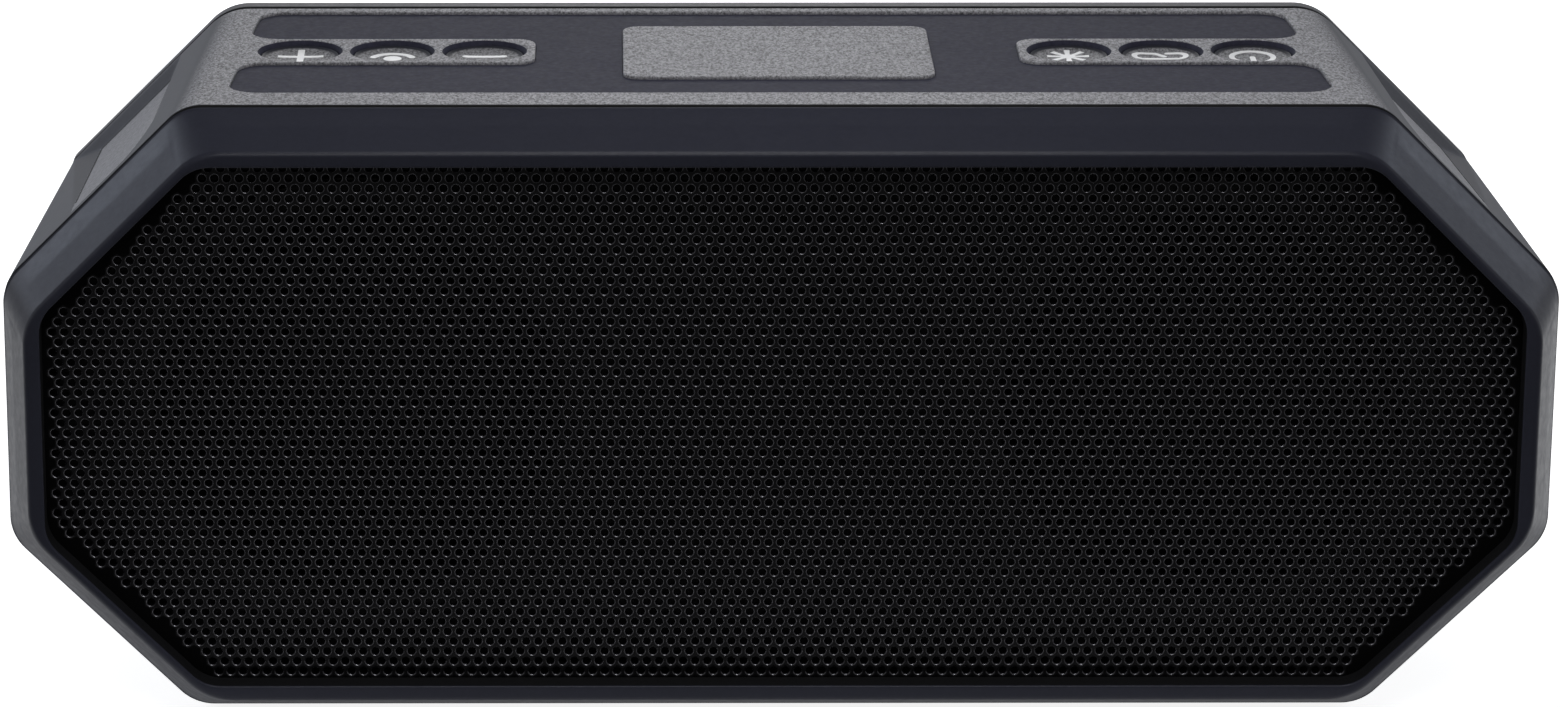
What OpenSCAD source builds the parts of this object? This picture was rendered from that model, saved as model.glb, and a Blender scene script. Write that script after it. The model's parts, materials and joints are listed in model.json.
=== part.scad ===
// Rugged portable speaker with an octagonal front, in millimetres.
// The front faces -Y and the feet stand on Z = 0.

/* [Body] */
// Width across the vertical sides
body_w = 190; // [180:1:210]
// Height of the octagon, without the feet
body_h = 77; // [74:1:86]
// Length that each corner of the octagon loses along X and Z
corner_cut = 22.3; // [20:0.1:24]
// Radius between neighbouring sides of the octagon at the front
corner_r = 6; // [4.5:0.5:8]
// Radius between neighbouring sides of the octagon at the rear
rear_corner_r = 2.5; // [2:0.5:6]
// Width that the sleeve loses on each side from front to rear
side_taper = 4.1; // [2:0.1:5.5]
// Corner cut that the sleeve loses from front to rear
cut_taper = 1.6; // [1:0.1:3.5]
// Shadow gap between the sleeve and each bezel
parting_gap = 0.5; // [0.3:0.1:0.8]
// Gap round pieces that are fitted by hand
fit_gap = 0.3; // [0.2:0.05:0.4]

/* [Sleeve] */
// Depth of the sleeve between the parting lines
sleeve_d = 48.4; // [47:0.2:60]
// Wall of the sleeve
sleeve_wall = 4; // [3.6:0.1:4.5]
// Wall of the sleeve where the bezels plug in
mouth_wall = 2.6; // [2.3:0.1:2.8]
// Wall of the sleeve behind the diagonal faces
diagonal_wall = 5.2; // [5:0.1:6]
// Depth of the scoop in each upper diagonal face
scoop_depth = 1.2; // [0.8:0.1:1.5]
// Distance from the front end of the sleeve to the scoop
scoop_front = 4.5; // [4:0.5:8]
// Distance from the rear end of the sleeve to the bottom crease of the scoop
scoop_crease = 3.2; // [2.5:0.1:6]
// Reach of the scoop up the diagonal face from its middle
scoop_high = 9.2; // [8:0.1:9.5]
// Reach of the scoop down the diagonal face from its middle
scoop_low = 11; // [9:0.5:12]
// Half width of the front end of the scoop
scoop_nose = 4.2; // [3:0.1:6]
// Radius of the screw columns in the corners
boss_r = 4.6; // [4.2:0.1:5]

/* [Top] */
// Distance from the front end of the sleeve to the sunk panel
inlay_front = 6.15; // [5.8:0.05:7]
// Distance from the sunk panel to the rear end of the sleeve
inlay_rear = 2.05; // [1.8:0.05:3]
// Distance of each end of the sunk panel from the side
inlay_side = 28.9; // [28:0.1:29.5]
// Length that the front strip of the sunk panel has more at each end
strip_step = 1.3; // [0:0.1:1.5]
// Distance of the sunk panel below the top
inlay_drop = 0.5; // [0.2:0.1:0.8]
// Thickness of the sunk panel
inlay_t = 0.6; // [0.4:0.1:1]
// Corner radius of the sunk panel
inlay_r = 3; // [1.5:0.5:4]
// Width of the button islands from front to rear
island_d = 11.8; // [11.4:0.1:13]
// Reach of each button island beyond the axis of its inner button
island_reach = 6.4; // [6:0.1:8]
// Half length of the bare island in the middle
badge_x = 19.3; // [12:0.1:22]
// Depth of the bare island from front to rear
badge_d = 25.4; // [16:0.1:30]

/* [Buttons] */
// Distance of the outermost button from the side
button_side = 35.3; // [34.5:0.1:35.6]
// Distance between neighbouring buttons
button_pitch = 11.55; // [11.3:0.05:11.7]
// Diameter of the well at the top face
well_d = 10.8; // [10.4:0.1:11]
// Diameter of the bore that guides the button
button_bore = 10; // [9.4:0.1:10]
// Depth of the sloped wall of the well
well_depth = 0.7; // [0.5:0.1:1]
// Gap between a button and its bore
button_gap = 0.2; // [0.15:0.05:0.3]
// Depth of the dish in the top of a button
dish_depth = 0.15; // [0.1:0.05:0.4]
// Travel of a button
button_travel = 0.6; // [0.3:0.1:0.8]
// Diameter of the flange that keeps a button in
button_flange = 11; // [10.8:0.1:11.1]

/* [Front] */
// Depth of the front bezel
bezel_d = 8.5; // [8:0.1:10]
// Slope of the front bezel inwards at the vertical sides
slope_side = 3.2; // [2.6:0.1:3.4]
// Slope of the front bezel inwards at the top and bottom
slope_top = 3.6; // [3:0.1:3.7]
// Corner cut of the front edge
ridge_cut = 21.4; // [20.5:0.1:21.8]
// Corner radius of the front edge
ridge_r = 7.5; // [6:0.5:9]
// How far the crease of the slope stands out
facet_bulge = 0.35; // [0.1:0.05:0.6]
// Corner radius of the crease
facet_r = 10; // [8:0.5:11]
// Width of the flat front land at the sides
land_side = 1.9; // [1.6:0.1:2]
// Width of the flat front land at the top and bottom
land_top = 1.8; // [1.5:0.1:2]
// Corner cut of the opening
opening_cut = 19; // [18.5:0.1:19.5]
// Corner radius of the opening
opening_r = 5; // [3:0.5:6]
// Depth of the opening in front of the grille
lip_d = 3.15; // [2.6:0.05:4]
// Inset of the seat of the grille from the parting outline
rebate_in = 3.6; // [3.4:0.1:3.8]

/* [Grille] */
// Thickness of the perforated sheet
grille_t = 0.8; // [0.6:0.1:1.2]
// Distance between neighbouring holes
grille_pitch = 4.2; // [4:0.1:8]
// Diameter of a hole
grille_hole = 2.8; // [1:0.1:3.2]
// Plain margin inside the opening
grille_margin = 2.2; // [1.8:0.1:4]

/* [Drivers] */
// Distance of each driver's axis from the side
driver_side = 43; // [42.5:0.5:43.5]
// Distance of the baffle behind the front
baffle_y = 12; // [12:0.1:14]
// Thickness of the baffle
baffle_t = 2.5; // [2:0.1:3]
// Wall of the rim that clamps the grille
rim_t = 1.6; // [1.2:0.1:1.8]
// Distance of the driver's flange from the top and the bottom
flange_edge = 9.5; // [9.5:0.1:10]
// Thickness of the driver's flange
flange_t = 1.5; // [1.2:0.1:2]
// Width of the driver's flange round the cup
flange_w = 4.1; // [4:0.1:4.5]
// Depth of the driver's cup behind the baffle
cup_d = 17; // [16.5:0.1:18]
// Sheet thickness of the driver's cup
cup_t = 1.2; // [1:0.1:1.4]
// Radius of the magnet
magnet_r = 17; // [15:0.5:17.5]
// Distance between the magnet and the main board
magnet_gap = 6.5; // [6:0.1:7.5]
// Radius of the middle of the voice coil
coil_r = 9.7; // [9.5:0.1:10]
// Wall of the voice coil
coil_t = 0.8; // [0.6:0.1:1]
// Gap on each side of the voice coil
coil_gap = 0.6; // [0.4:0.1:0.8]
// Distance from the outside of the cup to the cone
cone_edge = 3.3; // [3.1:0.1:3.6]
// Paper thickness of the cone
cone_t = 0.8; // [0.6:0.1:1]
// Depth of the cone
cone_d = 10; // [9:0.1:10.5]

/* [Rear] */
// Depth of the rear bezel
rear_d = 7.6; // [7.4:0.1:9]
// Straight part of the rear bezel
rear_band = 2.6; // [2:0.1:3]
// Slope of the rear bezel inwards
rear_slope = 4; // [2:0.1:4.5]
// Width of the flat rear land
rear_land = 1.6; // [1.4:0.1:1.8]
// Distance of the rear wall in front of the rear end
panel_drop = 3.2; // [3.2:0.1:3.8]
// Thickness of the rear wall
panel_t = 2.5; // [2.5:0.1:3]
// Inset of the seat of the rear wall from the rear outline
rear_rebate = 4.2; // [4:0.1:4.3]
// Radius of the hole for the radiator
radiator_r = 22.5; // [18:0.5:24]
// Radius of the radiator's plate
plate_r = 17.6; // [17.4:0.1:18.5]
// Thickness of the radiator's plate
plate_t = 3; // [2:0.1:3]
// Thickness of the soft sheet of a surround
rubber_t = 0.6; // [0.5:0.1:0.8]
// Thickness of a gasket
gasket_t = 1; // [0.8:0.1:1.5]

/* [Port] */
// Distance of the charging port from the right side
port_side = 35; // [33:0.5:37]
// Height of the charging port above the middle
port_z = -8; // [-9:0.5:-7]
// Width of the port cover
cover_w = 26; // [24:0.5:28]
// Height of the port cover
cover_h = 14; // [13:0.5:15]
// Thickness of the port cover
cover_t = 1.1; // [0.9:0.1:1.1]
// Width of the pocket in front of the socket
pocket_w = 14; // [13:0.5:15]
// Height of the pocket in front of the socket
pocket_h = 8.5; // [8:0.1:9]
// Depth of the pocket in front of the rear wall's inner face
pocket_d = 4.5; // [4.5:0.1:5]
// Width of the socket
socket_w = 9; // [8.9:0.1:9.2]
// Height of the socket
socket_h = 3.3; // [3.2:0.1:3.4]
// Length of the socket
socket_d = 6.4; // [6:0.1:7]

/* [Inside] */
// Thickness of the circuit boards
board_t = 1.6; // [1:0.1:1.6]
// Distance of the main board from the top and the bottom
board_edge_z = 20.5; // [20.5:0.5:21]
// Distance of the main board from the right side
board_side = 11; // [10.5:0.5:12]
// Width of the main board
board_w = 46; // [45:0.5:47]
// Width of the key board from front to rear
key_board_d = 12; // [11:0.5:14]
// Height of a key switch with its plunger
switch_h = 2.2; // [1.8:0.1:2.4]
// Radius of a battery cell
cell_r = 9.2; // [9:0.05:9.3]
// Length of a battery cell
cell_l = 65; // [64:0.5:66]
// Thickness of the battery tray
tray_t = 1.5; // [1.2:0.1:2]
// Radius of the thread of the large screws
screw_r = 1.4; // [1.2:0.1:1.6]
// Radius of the thread of the small screws
small_screw_r = 0.9; // [0.8:0.05:1]

/* [Feet] */
// Height of the feet below the sleeve
foot_h = 0.8; // [0.5:0.1:1.5]
// Depth of the seat of a foot
foot_seat = 0.8; // [0.4:0.1:1]
// Length of a foot
foot_l = 30; // [20:1:36]
// Width of a foot
foot_w = 8; // [6:0.5:8.5]
// Distance of the middle of a foot from the side
foot_side = 45; // [42:0.5:50]

/* [Hidden] */
$fn = 48;
diag = sqrt(2);
arc_steps = 4;
eps = 0.01;
run_out = 1;
least_r = 1;
cavity_r = 2;

// Places along the depth, from the front land backwards
sleeve_y0 = bezel_d + parting_gap;
sleeve_y1 = sleeve_y0 + sleeve_d;
rear_y0 = sleeve_y1 + parting_gap;
body_d = rear_y0 + rear_d;
grille_y1 = lip_d + grille_t;
baffle_y1 = baffle_y + baffle_t;
front_step = baffle_y1 + gasket_t;
tongue_y = baffle_y - fit_gap;
panel_y1 = body_d - panel_drop;
panel_y0 = panel_y1 - panel_t;
rear_tongue = 3;
rear_tongue_y = rear_y0 - rear_tongue;
rear_step = rear_tongue_y - gasket_t;
flange_y = baffle_y - flange_t;
cup_y = baffle_y + cup_d;

// Drivers
driver_x = body_w / 2 - driver_side;
flange_r = body_h / 2 - flange_edge;
cup_r = flange_r - flange_w;
cone_r = cup_r - cone_edge;

// Screw columns
inner_sum = (body_w + body_h) / 2 - corner_cut - diagonal_wall * diag;
boss_offset = 21.5;
boss_sink = 0.1;
boss_x = driver_x + boss_offset;
boss_z = inner_sum - (boss_r - boss_sink) * diag - boss_x;
peg_r = 2.8;
screw_head_r = 2.4;
screw_head_t = 1.8;
screw_clear = 0.2;
pilot_d = 9;
screw_tip = 0.5;

// Driver screws
driver_screw_pcr = flange_r - 2;
small_head_r = 1.8;
small_head_t = 1.2;
pilot_gap = 0.05;
key_pilot_d = 4;
tray_pilot_d = 2.6;
board_pilot_d = 5;

// Top layout, with the buttons a little behind the middle of the sleeve
top_z = body_h / 2;
cavity_z = body_h / 2 - sleeve_wall;
inlay_x = body_w / 2 - inlay_side;
inlay_y = sleeve_y0 + inlay_front;
inlay_d = sleeve_d - inlay_front - inlay_rear;
inlay_mid = inlay_y + inlay_d / 2;
inlay_gap = 0.1;
badge_r = 2.2;
island_r = 2.5;
button_x = body_w / 2 - button_side - 2 * button_pitch;
island_x = button_x - island_reach;
button_shift = 0.3;
button_y = inlay_mid + button_shift;
button_sink = 0.1;
button_top = top_z - well_depth - button_sink;
flange_gap = 0.15;
button_flange_t = 1;
button_flange_z = cavity_z - flange_gap - button_flange_t;
stem_r = 2;
stem_l = 0.8;
switch_gap = 0.15;
switch_top = button_flange_z - stem_l - button_travel - switch_gap;
key_board_z = switch_top - switch_h;
switch_w = 4.6;
plunger_r = 1.2;
plunger_h = 0.7;
key_post_offset = 8.1;
key_post_x = [button_x - key_post_offset, button_x + 2 * button_pitch + key_post_offset];
key_post_r = 2.3;
key_board_edge = 3;
key_board_x = key_post_x[1] + key_board_edge;

// Main board, its socket and its posts
port_x = body_w / 2 - port_side;
board_z = body_h / 2 - board_edge_z;
board_x1 = body_w / 2 - board_side;
board_x0 = board_x1 - board_w;
socket_reach = 0.2;
socket_y1 = panel_y0 - pocket_d + socket_reach;
socket_y0 = socket_y1 - socket_d;
board_y0 = socket_y0 - board_t;
magnet_y1 = board_y0 - magnet_gap;
magnet_d = magnet_y1 - cup_y;
board_post_r = 2.4;
board_edge = 4;
pocket_t = 1.2;
cover_floor_gap = 0.1;
cover_seat = cover_t + cover_floor_gap;
cover_gap = 0.4;
cover_r = 2.5;
cover_seat_r = 1;
cover_plug_t = 0.9;
cover_plug_gap = 1;
tab_w = 8;
tab_h = 1.6;

// Battery
tray_z = -cavity_z;
cell_rear = 2.1;
cell_gap = 0.6;
cell_y1 = panel_y0 - cell_rear - cell_r;
cell_y0 = cell_y1 - 2 * cell_r - cell_gap;
tray_wall_h = 12;
tray_lug = 6;
tray_screw_pitch = 13;
tray_screw_y = [cell_y0, cell_y0 + tray_screw_pitch];

// Feet
foot_x = body_w / 2 - foot_side;
foot_inset = 8.5;
foot_y = [sleeve_y0 + foot_inset, sleeve_y1 - foot_inset];

// Octagon with round corners, counted anticlockwise from the right side
function octagon(hw, hh, cut, r) =
  let (
    c = cut - r * (2 - diag),
    x = hw - r,
    z = hh - r,
    centres = [[x, z - c], [x - c, z], [c - x, z], [-x, z - c],
      [-x, c - z], [c - x, -z], [x - c, -z], [x, c - z]]
  )
  [for (i = [0:7]) for (k = [0:arc_steps])
    let (a = 45 * (i + k / arc_steps)) centres[i] + r * [cos(a), sin(a)]];

// Outline of the front parting line, moved inwards
function front_outline(inset) =
  octagon(body_w / 2 - inset, body_h / 2 - inset,
    corner_cut - inset * (2 - diag), max(corner_r - inset, least_r));

// Outline of the rear parting line, moved inwards
function rear_outline(inset) =
  octagon(body_w / 2 - side_taper - inset, body_h / 2 - inset,
    corner_cut - cut_taper - inset * (2 - diag), max(rear_corner_r - inset, least_r));

// Hollow of the sleeve, with a thicker wall behind the diagonal faces
function cavity_outline(side_in, cut) =
  let (
    hw = body_w / 2 - side_in - sleeve_wall,
    hh = body_h / 2 - sleeve_wall,
    sum = body_w / 2 - side_in + body_h / 2 - cut - diagonal_wall * diag
  )
  octagon(hw, hh, hw + hh - sum, cavity_r);

ridge_hw = body_w / 2 - slope_side;
ridge_hh = body_h / 2 - slope_top;
opening_hw = ridge_hw - land_side;
opening_hh = ridge_hh - land_top;
function ridge_outline() = octagon(ridge_hw, ridge_hh, ridge_cut, ridge_r);
function facet_outline() =
  octagon(body_w / 2 - slope_side / 2 + facet_bulge, body_h / 2 - slope_top / 2 + facet_bulge,
    (corner_cut + ridge_cut) / 2, facet_r);
function opening_outline() = octagon(opening_hw, opening_hh, opening_cut, opening_r);

// Corner points of a rectangle with round corners
function round_rect(x0, x1, y0, y1, r) =
  [for (c = [[x1 - r, y1 - r, 0], [x0 + r, y1 - r, 90], [x0 + r, y0 + r, 180], [x1 - r, y0 + r, 270]])
    for (k = [0:arc_steps]) let (a = c[2] + 90 * k / arc_steps) [c[0] + r * cos(a), c[1] + r * sin(a)]];

// From front-based depths to the frame of the part
module placed() {
  translate([0, -body_d / 2, foot_h + body_h / 2]) children();
}

// Solid between outlines that lie one behind the other
module loft(rings) {
  n = len(rings[0][1]);
  last = (len(rings) - 1) * n;
  points = [for (ring = rings) for (p = ring[1]) [p[0], ring[0], p[1]]];
  sides = [for (k = [0:len(rings) - 2]) for (i = [0:n - 1])
    [k * n + i, k * n + (i + 1) % n, (k + 1) * n + (i + 1) % n, (k + 1) * n + i]];
  front = [for (i = [n - 1:-1:0]) i];
  back = [for (i = [0:n - 1]) last + i];
  polyhedron(points = points, faces = concat([front], sides, [back]));
}

// Flat outline in X and Z, thick from y0 to y1
module plate(y0, y1, points) {
  upright(y0, y1) polygon(points);
}

module upright(y0, y1) {
  translate([0, y1, 0]) rotate([90, 0, 0]) linear_extrude(y1 - y0) children();
}

// Round bar along the depth
module bar(x, z, r, y0, y1) {
  translate([x, y1, z]) rotate([90, 0, 0]) cylinder(r = r, h = y1 - y0);
}

module corners() {
  for (sx = [-1, 1]) for (sz = [-1, 1]) translate([sx * boss_x, 0, sz * boss_z]) children();
}

module buttons_at() {
  for (side = [-1, 1]) for (i = [0:2])
    translate([side * (button_x + i * button_pitch), button_y, 0]) children();
}

module key_posts_at() {
  for (side = [-1, 1]) for (x = key_post_x) translate([side * x, button_y, 0]) children();
}

module feet_at() {
  for (side = [-1, 1]) for (y = foot_y) translate([side * foot_x, y, 0]) children();
}

module tray_screws_at() {
  for (side = [-1, 1]) for (y = tray_screw_y)
    translate([side * (cell_l / 2 + tray_t + tray_lug / 2 + fit_gap), y, 0]) children();
}

module board_posts_at() {
  for (x = [board_x0 + board_edge, board_x1 - board_edge]) for (side = [-1, 1])
    translate([x, 0, side * (board_z - board_edge)]) children();
}

// Sleeve

// One scoop, a shallow hipped hollow in the upper right diagonal face
module scoop() {
  mid_x = body_w / 2 - corner_cut / 2;
  mid_z = body_h / 2 - corner_cut / 2;
  recede = (side_taper - cut_taper) / diag / sleeve_d;
  crease_y = sleeve_d - scoop_crease;
  high_end = 2.8;
  low_end = 4.3;
  rear_edge = 0.4;
  curve_d = 12;
  cutter_h = 4;
  curve = [for (a = [0:90 / arc_steps:90])
    [scoop_nose + (scoop_high - scoop_nose) * sin(a), scoop_front + curve_d * (1 - cos(a))]];
  edge = concat([[-scoop_nose, scoop_front]], curve,
    [[scoop_high, sleeve_d - rear_edge], [-scoop_low, sleeve_d - rear_edge]]);
  crease = [[scoop_high - high_end, crease_y], [low_end - scoop_low, crease_y]];
  function at(p, n) =
    let (out = n - recede * p[1])
    [mid_x + (out - p[0]) / diag, sleeve_y0 + p[1], mid_z + (out + p[0]) / diag];
  points = concat([for (p = edge) at(p, 0)], [for (p = edge) at(p, cutter_h)],
    [for (p = crease) at(p, -scoop_depth)]);
  hull() polyhedron(points = points, faces = [for (i = [2:len(points) - 1]) [i - 2, i - 1, i]]);
}

module foot_outline(gap) {
  polygon(round_rect(-foot_l / 2 - gap, foot_l / 2 + gap, -foot_w / 2 - gap, foot_w / 2 + gap, foot_w / 2));
}

// Dark panel in the top, wider by a gap on all sides
module inlay_outline(gap) {
  y0 = inlay_y - gap;
  y1 = inlay_y + inlay_d + gap;
  front_y1 = button_y - island_d / 2 + gap;
  rear_y0 = button_y + island_d / 2 - gap;
  rear_x = inlay_x + gap;
  front_x = rear_x + strip_step;
  mid_x = island_x + island_r + gap;
  island_end = island_x + gap;
  difference() {
    union() {
      polygon(round_rect(-front_x, front_x, y0, front_y1, inlay_r));
      polygon(round_rect(-rear_x, rear_x, rear_y0, y1, inlay_r));
      translate([-mid_x, y0]) square([2 * mid_x, y1 - y0]);
    }
    for (side = [0, 1]) mirror([side, 0])
      polygon(round_rect(island_end, 2 * inlay_x, front_y1, rear_y0, island_r));
    polygon(round_rect(gap - badge_x, badge_x - gap,
      inlay_mid - badge_d / 2 + gap, inlay_mid + badge_d / 2 - gap, badge_r));
  }
}

module button_well() {
  translate([0, 0, cavity_z - run_out]) cylinder(d = button_bore, h = sleeve_wall + 2 * run_out);
  translate([0, 0, top_z - well_depth])
    cylinder(d1 = button_bore, d2 = well_d, h = well_depth + eps);
}

module screw_columns() {
  corners() bar(0, 0, boss_r, baffle_y1, rear_step);
  key_posts_at() translate([0, 0, key_board_z])
    cylinder(r = key_post_r, h = cavity_z - key_board_z + run_out);
}

module screw_pilots() {
  corners() {
    bar(0, 0, screw_r + pilot_gap, baffle_y1 - run_out, baffle_y1 + pilot_d);
    bar(0, 0, screw_r + pilot_gap, rear_step - pilot_d, rear_step + run_out);
  }
  key_posts_at() translate([0, 0, key_board_z - run_out])
    cylinder(r = small_screw_r + pilot_gap, h = key_pilot_d + run_out);
  tray_screws_at() translate([0, 0, tray_z - tray_pilot_d])
    cylinder(r = small_screw_r + pilot_gap, h = tray_pilot_d + run_out);
}

module sleeve_shell() {
  color("dimgray") placed() difference() {
    union() {
      difference() {
        loft([[sleeve_y0, front_outline(0)], [sleeve_y1, rear_outline(0)]]);
        loft([[sleeve_y0 - run_out, cavity_outline(0, corner_cut)],
          [sleeve_y1 + run_out, cavity_outline(side_taper, corner_cut - cut_taper)]]);
      }
      screw_columns();
    }
    plate(sleeve_y0 - run_out, front_step, front_outline(mouth_wall));
    plate(rear_step, sleeve_y1 + run_out, rear_outline(mouth_wall));
    buttons_at() button_well();
    translate([0, 0, top_z - inlay_drop - inlay_t]) linear_extrude(inlay_drop + inlay_t + run_out)
      inlay_outline(inlay_gap);
    for (side = [0, 1]) mirror([side, 0, 0]) scoop();
    feet_at() translate([0, 0, -body_h / 2 - run_out])
      linear_extrude(foot_seat + run_out) foot_outline(fit_gap);
    screw_pilots();
  }
}

module top_inlay() {
  color("darkslategray") placed() translate([0, 0, top_z - inlay_drop - inlay_t])
    linear_extrude(inlay_t) inlay_outline(0);
}

module rubber_feet() {
  color("black") placed() feet_at() translate([0, 0, -body_h / 2 - foot_h])
    linear_extrude(foot_h + foot_seat) foot_outline(0);
}

// Front

module front_bezel() {
  color("darkslategray") placed() difference() {
    union() {
      loft([[0, ridge_outline()], [bezel_d / 2, facet_outline()], [bezel_d, front_outline(0)]]);
      plate(bezel_d - run_out, tongue_y, front_outline(mouth_wall + fit_gap / 2));
    }
    plate(-run_out, lip_d + run_out, opening_outline());
    plate(lip_d, tongue_y + run_out, front_outline(rebate_in));
  }
}

function in_grille(x, z) =
  abs(x) < opening_hw - grille_margin && abs(z) < opening_hh - grille_margin
  && abs(x) + abs(z) < opening_hw + opening_hh - opening_cut - grille_margin * diag;

module front_grille() {
  row_h = grille_pitch * sqrt(3) / 2;
  rows = ceil(opening_hh / row_h);
  columns = ceil(opening_hw / grille_pitch);
  color("black") placed() upright(lip_d, grille_y1) difference() {
    polygon(front_outline(rebate_in + fit_gap));
    for (j = [-rows:rows]) for (i = [-columns:columns]) {
      x = (i + (abs(j) % 2) / 2) * grille_pitch;
      z = j * row_h;
      if (in_grille(x, z)) translate([x, z]) circle(d = grille_hole);
    }
  }
}

module driver_screw_places() {
  for (a = [45:90:315]) rotate(a) translate([driver_screw_pcr, 0]) children();
}

module front_baffle() {
  rim_in = rebate_in + fit_gap;
  color("dimgray") placed() difference() {
    union() {
      plate(baffle_y, baffle_y1, front_outline(mouth_wall + fit_gap));
      plate(grille_y1, baffle_y + eps, front_outline(rim_in));
    }
    plate(grille_y1 - run_out, baffle_y, front_outline(rim_in + rim_t));
    for (side = [-1, 1]) {
      bar(side * driver_x, 0, cup_r + fit_gap, baffle_y - run_out, baffle_y1 + run_out);
      upright(baffle_y - run_out, baffle_y1 + run_out) translate([side * driver_x, 0])
        driver_screw_places() circle(r = small_screw_r + pilot_gap);
    }
    corners() bar(0, 0, screw_r + screw_clear, baffle_y - run_out, baffle_y1 + run_out);
  }
}

module front_gasket() {
  color("black") placed() difference() {
    plate(baffle_y1, front_step, front_outline(mouth_wall + fit_gap));
    plate(baffle_y1 - run_out, front_step + run_out, cavity_outline(0, corner_cut));
    corners() bar(0, 0, boss_r + fit_gap, baffle_y1 - run_out, front_step + run_out);
  }
}

// Screw with its head on the -Y side of y and its thread behind it
module screw(r, head_r, head_t, y, l) {
  bar(0, 0, head_r, y - head_t, y);
  bar(0, 0, r, y - head_t / 2, y + l);
}

module baffle_screws() {
  color("silver") placed() corners()
    screw(screw_r, screw_head_r, screw_head_t, baffle_y, baffle_t + pilot_d - screw_tip);
}

// Drivers

// A driver's own axis points to the front, with its heights counted as depths
module driver_at(side) {
  placed() translate([side * driver_x, 0, 0]) rotate([90, 0, 0]) children();
}

// Radius of the rear end of the driver's cup
basket_step = 0.5;
back_r = magnet_r + basket_step;

module basket() {
  gap_r = coil_r + coil_t / 2 + coil_gap;
  window_w = 14;
  window_foot = 4;
  window_rim = 2;
  difference() {
    rotate_extrude() polygon([[flange_r, -flange_y], [flange_r, -baffle_y], [cup_r, -baffle_y],
      [back_r, -cup_y], [gap_r, -cup_y], [gap_r, cup_t - cup_y], [back_r - cup_t, cup_t - cup_y],
      [cup_r - cup_t, -baffle_y], [cup_r - cup_t, -flange_y]]);
    for (a = [0:90:270]) rotate(a)
      translate([back_r - cup_t, -window_w / 2, window_foot - cup_y])
        cube([cup_r, window_w, cup_d - baffle_t - window_foot - window_rim]);
    translate([0, 0, -baffle_y - run_out]) driver_screw_places()
      cylinder(r = small_screw_r + screw_clear, h = flange_t + 2 * run_out);
  }
}

module magnet() {
  gap_in = coil_r - coil_t / 2 - coil_gap;
  gap_out = coil_r + coil_t / 2 + coil_gap;
  back_share = 0.29;
  back_t = back_share * magnet_d;
  translate([0, 0, -magnet_y1]) difference() {
    cylinder(r = magnet_r, h = magnet_d);
    translate([0, 0, back_t]) difference() {
      cylinder(r = gap_out, h = magnet_d);
      cylinder(r = gap_in, h = magnet_d);
    }
  }
}

// Depths of the moving pieces of a driver
cone_y = flange_y;
cone_rim = 1.4;
neck_y = cone_y + cone_d;
neck_r = coil_r + coil_t / 2;

module cone() {
  rotate_extrude() polygon([[neck_r, -neck_y - cone_t], [neck_r, -neck_y], [cone_r - cone_rim, -cone_y],
    [cone_r, -cone_y], [cone_r, -cone_y - cone_t], [neck_r + cone_t, -neck_y - cone_t]]);
}

module voice_coil() {
  reach_share = 0.42;
  coil_l = cup_y + reach_share * magnet_d - neck_y;
  translate([0, 0, -neck_y - coil_l]) difference() {
    cylinder(r = neck_r, h = coil_l);
    translate([0, 0, -run_out]) cylinder(r = neck_r - coil_t, h = coil_l + 2 * run_out);
  }
}

// Dome with its rim on the front end of the voice coil
module dust_cap() {
  dome_h = 3.4;
  dome_r = (neck_r * neck_r + dome_h * dome_h) / (2 * dome_h);
  translate([0, 0, dome_h - dome_r - neck_y]) difference() {
    sphere(r = dome_r);
    sphere(r = dome_r - rubber_t);
    translate([0, 0, -dome_r - run_out]) cylinder(r = 2 * dome_r, h = 2 * dome_r - dome_h + run_out);
  }
}

// Half roll with a flat lip on each side, lying on a plane at height 0
module half_roll(roll_in, roll_out, lip) {
  roll_r = (roll_out - roll_in) / 2;
  roll_mid = (roll_in + roll_out) / 2;
  rotate_extrude() difference() {
    union() {
      translate([roll_mid, 0]) circle(r = roll_r);
      translate([roll_in - lip, 0]) square([lip + rubber_t, rubber_t]);
      translate([roll_out - rubber_t, 0]) square([lip + rubber_t, rubber_t]);
    }
    translate([roll_mid, 0]) circle(r = roll_r - rubber_t);
    translate([roll_in - eps, -2 * roll_r]) square([2 * roll_r + 2 * eps, 2 * roll_r]);
  }
}

// Half roll between the rim of the cone and the flange
module surround() {
  lip = cone_rim - 2 * fit_gap;
  translate([0, 0, -cone_y]) half_roll(cone_r - 2 * fit_gap, cup_r - cup_t + 2 * fit_gap, lip);
}

// Corrugated disc that centres the voice coil
module spider() {
  spider_front = 4.5;
  spider_y = cup_y - spider_front;
  spider_gap = 0.1;
  cup_spread = (cup_r - back_r) / (cup_d - cup_t);
  inner = neck_r + spider_gap;
  outer = back_r - cup_t + (spider_front - cup_t) * cup_spread - pilot_gap;
  waves = 3;
  wave = (outer - inner) / waves;
  rotate_extrude() union() {
    translate([inner, -spider_y]) square([outer - inner, rubber_t]);
    for (i = [0:waves - 1]) translate([inner + (i + 0.5) * wave, -spider_y])
      square([wave / 3, rubber_t * 2], center = true);
  }
}

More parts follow.
